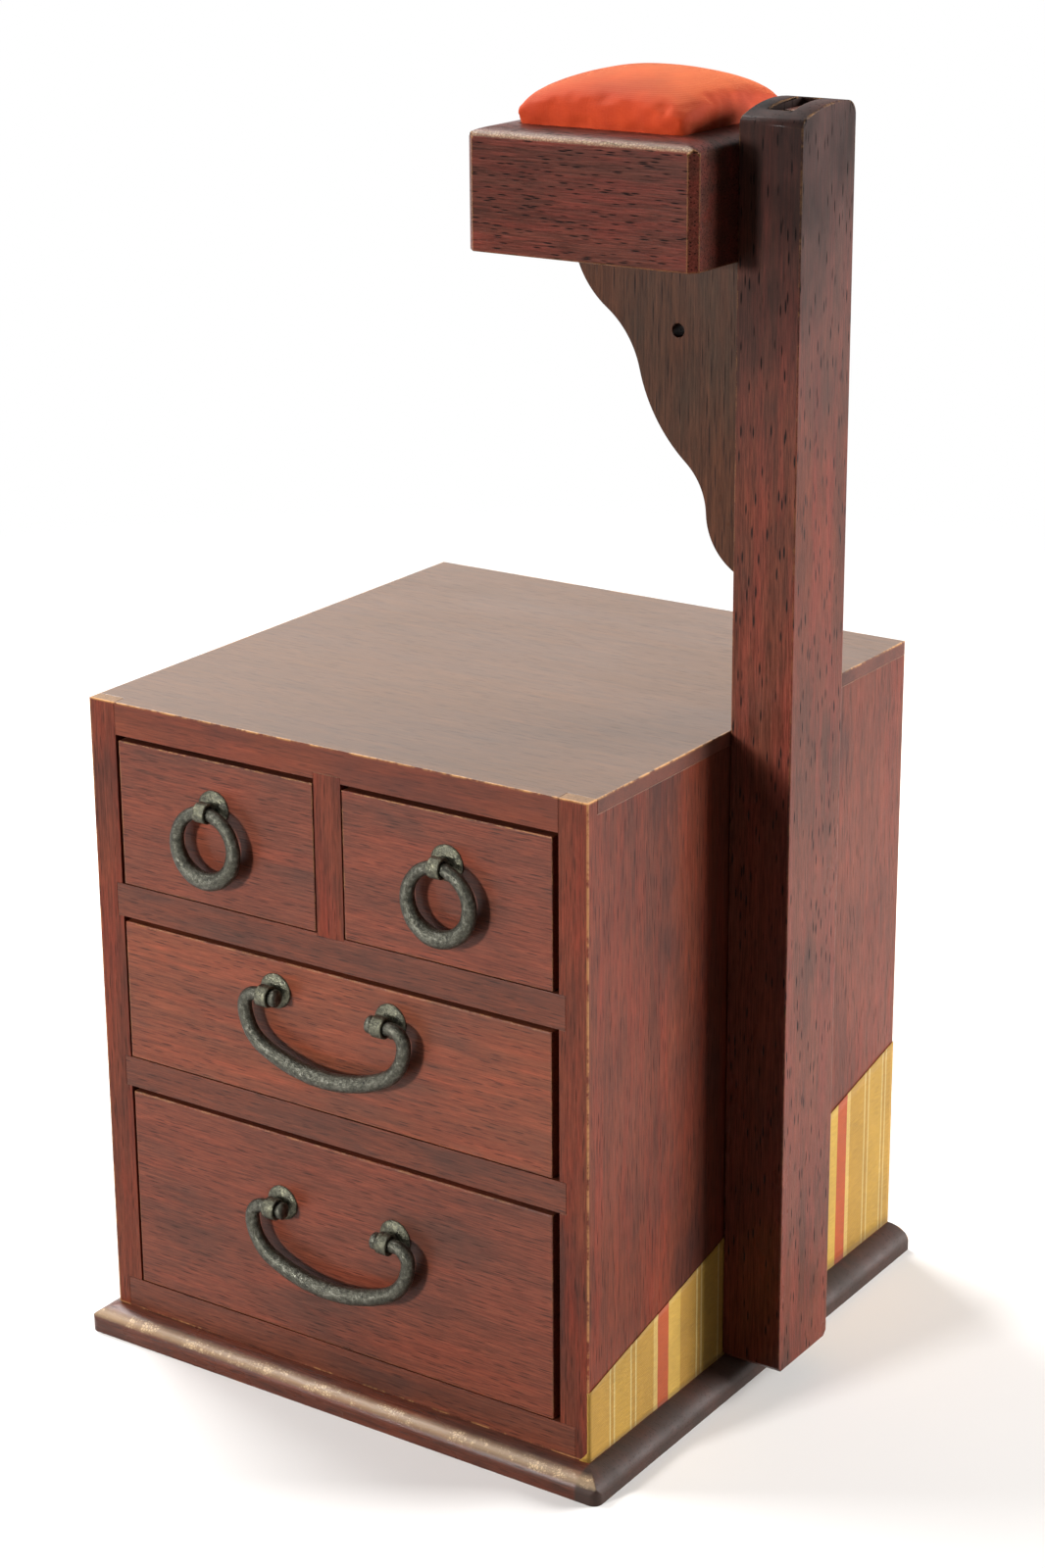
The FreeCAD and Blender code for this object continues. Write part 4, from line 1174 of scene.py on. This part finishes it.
@dataclass
class Pincushion:
    """A stuffed cotton cushion, crowned, with its sides drawn in between the corners."""

    x: float = 64
    y: float = 2.7
    seat: float = 471.2
    half: float = 32.95
    tuck: float = 0.6
    bulge: float = 1.3
    corner_height: float = 5
    height: float = 17.6
    sunk: float = 8.5
    corner: float = 2.5
    crown: float = 0.85
    around: int = 192
    levels: int = 22
    voxel: float = 1.9
    pressure: float = 4
    shrinkage: float = -0.03
    frames: int = 20
    swell_cap: float = 0.8

    @staticmethod
    def outline(angle: float, half: float, roundness: float) -> tuple[float, float]:
        """A point on a square with rounded corners.

        Args:
            angle: The direction from the middle.
            half: Half the square's width.
            roundness: The corner radius as a share of that half.

        Returns:
            The point's place across and deep.
        """
        power = -math.log(2) / math.log(1 - roundness * (1 - math.sqrt(0.5)))
        c, s = math.cos(angle), math.sin(angle)
        reach = half / (abs(c) ** power + abs(s) ** power) ** (1 / power)
        return reach * c, reach * s

    def shell(self) -> bpy.types.Object:
        """The cushion before it is filled.

        Returns:
            A closed mesh.
        """
        corner = self.corner / self.half
        full = self.half + self.bulge
        profile = [(-self.sunk, self.half, corner), (-4, self.half, corner), (0, self.half, corner),
                   (1.3, self.half + self.bulge * 0.7, corner), (2.8, full, corner), (4.0, full, corner)]
        for level in range(self.levels + 1):
            angle = math.pi / 2 * level / (self.levels + 0.6)
            rise = self.corner_height + (self.height - self.corner_height) * math.sin(angle)
            half = full * math.cos(angle)
            profile.append((rise, half, corner + (self.crown - corner) * math.sin(angle)))
        points = []
        for rise, half, roundness in profile:
            for step in range(self.around):
                dx, dy = self.outline(math.tau * (step + 0.5) / self.around, half, roundness)
                points.append((self.x + dx, self.y + dy, self.seat + rise))
        return new_mesh("stuffed_pincushion", points, skin_faces(len(profile), self.around))

    def fill(self, cushion: bpy.types.Object) -> None:
        """Blows the cover up against its stuffing, as the filling does.

        Args:
            cushion: The closed cover.
        """
        remesh = cushion.modifiers.new("even_weave", "REMESH")
        remesh.mode = "VOXEL"
        remesh.voxel_size = self.voxel * MM
        self.apply(cushion)
        rest = np.array([vertex.co for vertex in cushion.data.vertices])
        held = cushion.vertex_groups.new(name="tucked")
        held.add([i for i, co in enumerate(rest) if co[2] < (self.seat + self.tuck) * MM], 1.0, "REPLACE")
        cloth = cushion.modifiers.new("cover", "CLOTH").settings
        cloth.vertex_group_mass = "tucked"
        cloth.use_pressure = True
        cloth.uniform_pressure_force = self.pressure
        cloth.effector_weights.gravity = 0
        cloth.shrink_min = self.shrinkage
        cloth.quality = 6
        scene = bpy.context.scene
        for step in range(self.frames):
            scene.frame_set(1 + step)
        self.apply(cushion)
        scene.frame_set(1)
        # the cover gives softly up to the cap, so that it swells without wrinkling
        move = np.array([vertex.co for vertex in cushion.data.vertices]) - rest
        far = np.linalg.norm(move, axis=1)
        cap = self.swell_cap * MM
        move *= (cap * np.tanh(far / cap) / np.maximum(far, 1e-9))[:, None]
        cushion.data.vertices.foreach_set("co", (rest + move).ravel())

    @staticmethod
    def apply(item: bpy.types.Object) -> None:
        """Makes an object's modifiers part of its mesh."""
        bpy.context.view_layer.update()
        shaped = item.evaluated_get(bpy.context.evaluated_depsgraph_get())
        item.data = bpy.data.meshes.new_from_object(shaped)
        item.modifiers.clear()
        item.data.shade_smooth()

    def crease(self, cushion: bpy.types.Object) -> None:
        """Presses the tucks and dimples of the cover in.

        Args:
            cushion: The filled cushion.
        """
        half = self.half + self.bulge
        # for each: its place, its reach and its push, each across, deep and up
        folds = (
            ((half, -half + 0.5, 1.0), (1.6, 1.6, 3.4), (-0.9, 0.9, 0.0)),
            ((half, -half + 9, 1.6), (2.6, 4.5, 2.6), (-0.7, 0.0, -0.1)),
            ((-8.0, -half, 0.8), (3.2, 2.6, 2.6), (0.0, 0.8, 0.0)),
            ((-4.5, -half, 2.2), (1.6, 3.0, 3.2), (0.0, 0.45, 0.0)),
            ((14.0, -half, 0.4), (4.0, 2.4, 1.6), (0.0, 0.5, 0.0)),
            ((-half, -half + 12, 1.0), (2.6, 3.6, 2.6), (0.7, 0.0, 0.0)),
            ((-half, 10.0, 1.0), (2.6, 4.6, 2.6), (0.6, 0.0, 0.0)),
            ((-10.0, half, 1.0), (4.6, 2.6, 2.6), (0.0, -0.6, 0.0)),
            ((16.0, half, 1.0), (3.0, 2.6, 2.6), (0.0, -0.6, 0.0)),
        )
        co = np.array([vertex.co for vertex in cushion.data.vertices]) / MM
        local = co - np.array((self.x, self.y, self.seat))
        for centre, reach, push in folds:
            away = (((local - np.array(centre)) / np.array(reach)) ** 2).sum(1)
            co += np.exp(-away)[:, None] * np.array(push)
        cushion.data.vertices.foreach_set("co", (co * MM).ravel())

    def make(self, material: bpy.types.Material) -> None:
        """Makes the cushion.

        Args:
            material: The cover's finish.
        """
        cushion = self.shell()
        self.fill(cushion)
        finer = cushion.modifiers.new("finer", "SUBSURF")
        finer.levels = finer.render_levels = 1
        self.apply(cushion)
        self.crease(cushion)
        cushion.data.materials.clear()
        cushion.data.materials.append(material)
        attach(cushion, "post")
        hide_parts("pincushion")


@dataclass
class Post:
    """The post with its arm, the pincushion block and the measuring stick in its slot."""

    cushion: Pincushion = field(default_factory=Pincushion)

    def dress(self, finishes: Finishes) -> None:
        """Gives the post and what it carries their finishes.

        Args:
            finishes: The finishes by name.
        """
        boards = (
            ("post", "post", 0.5), ("arm_bracket", "arm", 0), ("pincushion_block", "block", 0.4),
            ("block_dowels", "inside_across", 0), ("measuring_stick", "stick", 0.4),
        )
        dress_boards(boards, finishes, POST_BOARDS_FROM)
        self.cushion.make(finishes["orange_cotton"])


@dataclass(frozen=True)
class SoftBox:
    """A lamp: where it stands, what it points at, its width and height, and its power in watts."""

    name: str
    place: Point
    aim: Point
    size: tuple[float, float]
    power: float

    def build(self) -> None:
        """Adds the lamp to the scene."""
        light = bpy.data.lights.new(self.name, "AREA")
        light.shape = "RECTANGLE"
        light.size, light.size_y = (side * MM for side in self.size)
        light.energy = self.power
        lamp = bpy.data.objects.new(self.name, light)
        lamp.location = Vector(self.place) * MM
        lamp.rotation_mode = "QUATERNION"
        lamp.rotation_quaternion = (Vector(self.aim) - Vector(self.place)).to_track_quat("-Z", "Y")
        bpy.context.scene.collection.objects.link(lamp)


@dataclass
class Studio:
    """A pale floor, soft lamps and the camera that sees the chest as the photograph does."""

    azimuth: float = 34.62
    elevation: float = 18.08
    roll: float = -0.58
    eye: Point = (658.5, -956.4, 616.4)
    focal_pixels: float = 3274.18
    shift_pixels: tuple[float, float] = (-26.78, -56.71)
    frame_height: int = 1600
    floor_radius: float = 6000
    floor_sides: int = 96
    floor_drop: float = 0.05
    soft_light: float = 0.04
    paper: PaperFloor = PaperFloor("pale_paper_floor")
    lamps: tuple[SoftBox, ...] = (
        SoftBox("window_front", (-460, -1690, 560), (0, -108, 180), (220, 220), 30),
        SoftBox("window_right", (1590, 1320, 740), (60, 0, 180), (1000, 1000), 86),
        SoftBox("overhead_front", (-700, -430, 1100), (0, -115, 60), (320, 320), 7),
        SoftBox("overhead_left", (-1000, 420, 1500), (0, 0, 100), (700, 700), 34),
    )

    def camera(self) -> None:
        """Sets up the camera at the photograph's viewing angle."""
        a, e, r = (math.radians(angle) for angle in (self.azimuth, self.elevation, self.roll))
        back = Vector((math.sin(a) * math.cos(e), -math.cos(a) * math.cos(e), math.sin(e)))
        right = (-back).cross(Vector((0, 0, 1))).normalized()
        up = right.cross(-back)
        rolled_right = right * math.cos(r) + up * math.sin(r)
        rolled_up = up * math.cos(r) - right * math.sin(r)
        lens = bpy.data.cameras.new("camera")
        lens.sensor_fit = "AUTO"
        lens.sensor_width = 36
        lens.lens = self.focal_pixels * lens.sensor_width / self.frame_height
        lens.shift_x = -self.shift_pixels[0] / self.frame_height
        lens.shift_y = self.shift_pixels[1] / self.frame_height
        lens.clip_start, lens.clip_end = 0.05, 60
        camera = bpy.data.objects.new("camera", lens)
        camera.matrix_world = Matrix.Translation(Vector(self.eye) * MM) @ Matrix(
            (rolled_right, rolled_up, back)).transposed().to_4x4()
        bpy.context.scene.collection.objects.link(camera)
        bpy.context.scene.camera = camera

    def surroundings(self) -> None:
        """Sets the world: white where it is seen or mirrored, and a plain level of soft light otherwise."""
        world = bpy.data.worlds.new("surroundings")
        world.use_nodes = True
        tree = world.node_tree
        tree.nodes.clear()
        path = add_node(tree, "LightPath").node.outputs
        seen = add_node(tree, "Math", {0: path["Is Camera Ray"], 1: path["Is Glossy Ray"]}, operation="MAXIMUM")
        through = add_node(tree, "Math", {0: seen, 1: path["Is Transmission Ray"]}, operation="MAXIMUM")
        strength = add_node(tree, "MapRange", {"Value": through, "To Min": self.soft_light, "To Max": 1.0})
        sky = add_node(tree, "Background", {"Color": (1, 1, 1, 1), "Strength": strength})
        add_node(tree, "OutputWorld", {"Surface": sky})
        bpy.context.scene.world = world

    def floor(self) -> None:
        """Lays the pale floor just under the chest."""
        turns = [math.tau * step / self.floor_sides for step in range(self.floor_sides)]
        rim = [(self.floor_radius * math.cos(turn), self.floor_radius * math.sin(turn), -self.floor_drop)
               for turn in turns]
        ground = new_mesh("floor", rim, [range(self.floor_sides)])
        ground.data.materials.append(self.paper.build())

    def build(self) -> None:
        """Builds the whole studio."""
        bpy.context.scene.view_settings.view_transform = "Standard"
        self.camera()
        self.surroundings()
        self.floor()
        for lamp in self.lamps:
            lamp.build()


def make_finishes() -> Finishes:
    """Makes every finish once.

    Returns:
        The materials by their short names.
    """
    finishes: dict[str, Finish] = {
        "drawer_front": StainedWood(
            "stained_drawer_front", Grain.ACROSS, ground="#6A3626", red="#7B3A28", smoke="#512E23", wear_and_glint=0.66),
        "redder_front": StainedWood(
            "stained_redder_front", Grain.ACROSS, ground="#743D29", red="#88402A", smoke="#5F3628", wear_and_glint=0.66),
        "rail": StainedWood("stained_rail", Grain.ACROSS, ground="#5E3122", smoke="#4A2A20", hull=CASE),
        "side": StainedWood(
            "stained_side", Grain.UPRIGHT, ground="#673222", red="#782F1F", smoke="#45241C", faded_and_sheen="#8E6F50",
            wear_and_glint=0.75, pore_length=8, specular=0.14, hull=CASE),
        "back": StainedWood("stained_back", Grain.UPRIGHT, wear_and_glint=0.3, hull=CASE),
        "top": StainedWood(
            "stained_top", Grain.ACROSS, ground="#6A3422", red="#783724", smoke="#52291F", dust_and_shade_colour="#362722",
            faded_and_sheen="#604020", wear_and_glint=0.66, pore_depth=0.4, fibre=0.35, gloss=0.66, specular=0.2, hull=CASE,
            darker_past=109.5),
        # its pale crazed band on the front round is partly crazed lacquer, partly a painted highlight; its ledge past
        # the side is dusty
        "base": StainedWood(
            "stained_base", Grain.ACROSS, ground="#552C1F", smoke="#42281F", dust_and_shade_colour="#2C231E", wear_and_glint=0.5,
            roughness=0.26, gloss=0, specular=0.27, darker_past=110, crackle_and_highlight=1),
        # the upper post turns darker from 345 mm up: partly dust, partly a painted shade of the block and arm above
        # it
        "post": StainedWood(
            "stained_post", Grain.UPRIGHT, ground="#673628", red="#78352A", smoke="#472A21", pore="#0C0504",
            dust_and_shade_colour="#17100E", wear_and_glint=0.62, pore_length=6, pore_spacing=1.7, pore_size=0.26, pore_depth=1,
            fibre=0.65, roughness=0.3, specular=0.1, gloss=0.03, darker_past=345, darker_axis="Z", darker_fade=120),
        "arm": StainedWood(
            "stained_arm", Grain.UPRIGHT, ground="#4B2E20", red="#533122", smoke="#3D2A1E", wear_and_glint=0.2,
            pore_length=12, pore_depth=0.9, fibre=0.65, roughness=0.3, gloss=0, specular=0.11),
        # its strong wear also paints the glint along its rounded top front edge, and its crackle the thin gold line
        # on its round: painted highlights over real wear
        "block": StainedWood(
            "stained_block", Grain.ACROSS, ground="#522B22", red="#6C2C24", smoke="#38221B", pore="#0C0504",
            wear_and_glint=0.9, pore_length=5, pore_spacing=1.05, pore_size=0.31, pore_depth=1, fibre=0.7,
            roughness=0.3, gloss=0, specular=0.05, crackle_and_highlight=0.34),
        "stick": StainedWood(
            "stained_stick", Grain.UPRIGHT, ground="#663629", red="#703B2B", wear_and_glint=0.4, specular=0.2),
        "inside_across": PlainWood("planed_softwood_across", Grain.ACROSS),
        "inside_deep": PlainWood("planed_softwood_deep", Grain.DEEP),
        "dark_brass": PatinatedBrass("patinated_brass_pull"),
        "plate_brass": PatinatedBrass(
            "patinated_brass_plate", dark="#2F2E27", patina="#4B4A3D", rubbed="#75735F"),
        "steel": DrawnSteel("drawn_steel_wire"),
        "striped_cotton": StripedCotton("striped_ribbed_cotton"),
        "orange_cotton": OrangeCotton("orange_plain_cotton"),
    }
    return {name: finish.build() for name, finish in finishes.items()}


def main() -> None:
    """Builds the studio and every sub-assembly in order."""
    logging.basicConfig(level=logging.INFO, format="%(name)s: %(message)s")
    Studio().build()
    finishes = make_finishes()
    Chest().dress(finishes)
    drawers = (
        Drawer("small_left", RingPull(-52, 227.3), 0),
        Drawer("small_right", RingPull(52, 227.3), 1),
        Drawer("medium", BailPull(0, 161.6), 2, "redder_front"),
        Drawer("large", BailPull(0, 76), 3),
    )
    for drawer in drawers:
        drawer.dress(finishes)
    Post().dress(finishes)


if __name__ == "__main__":
    main()
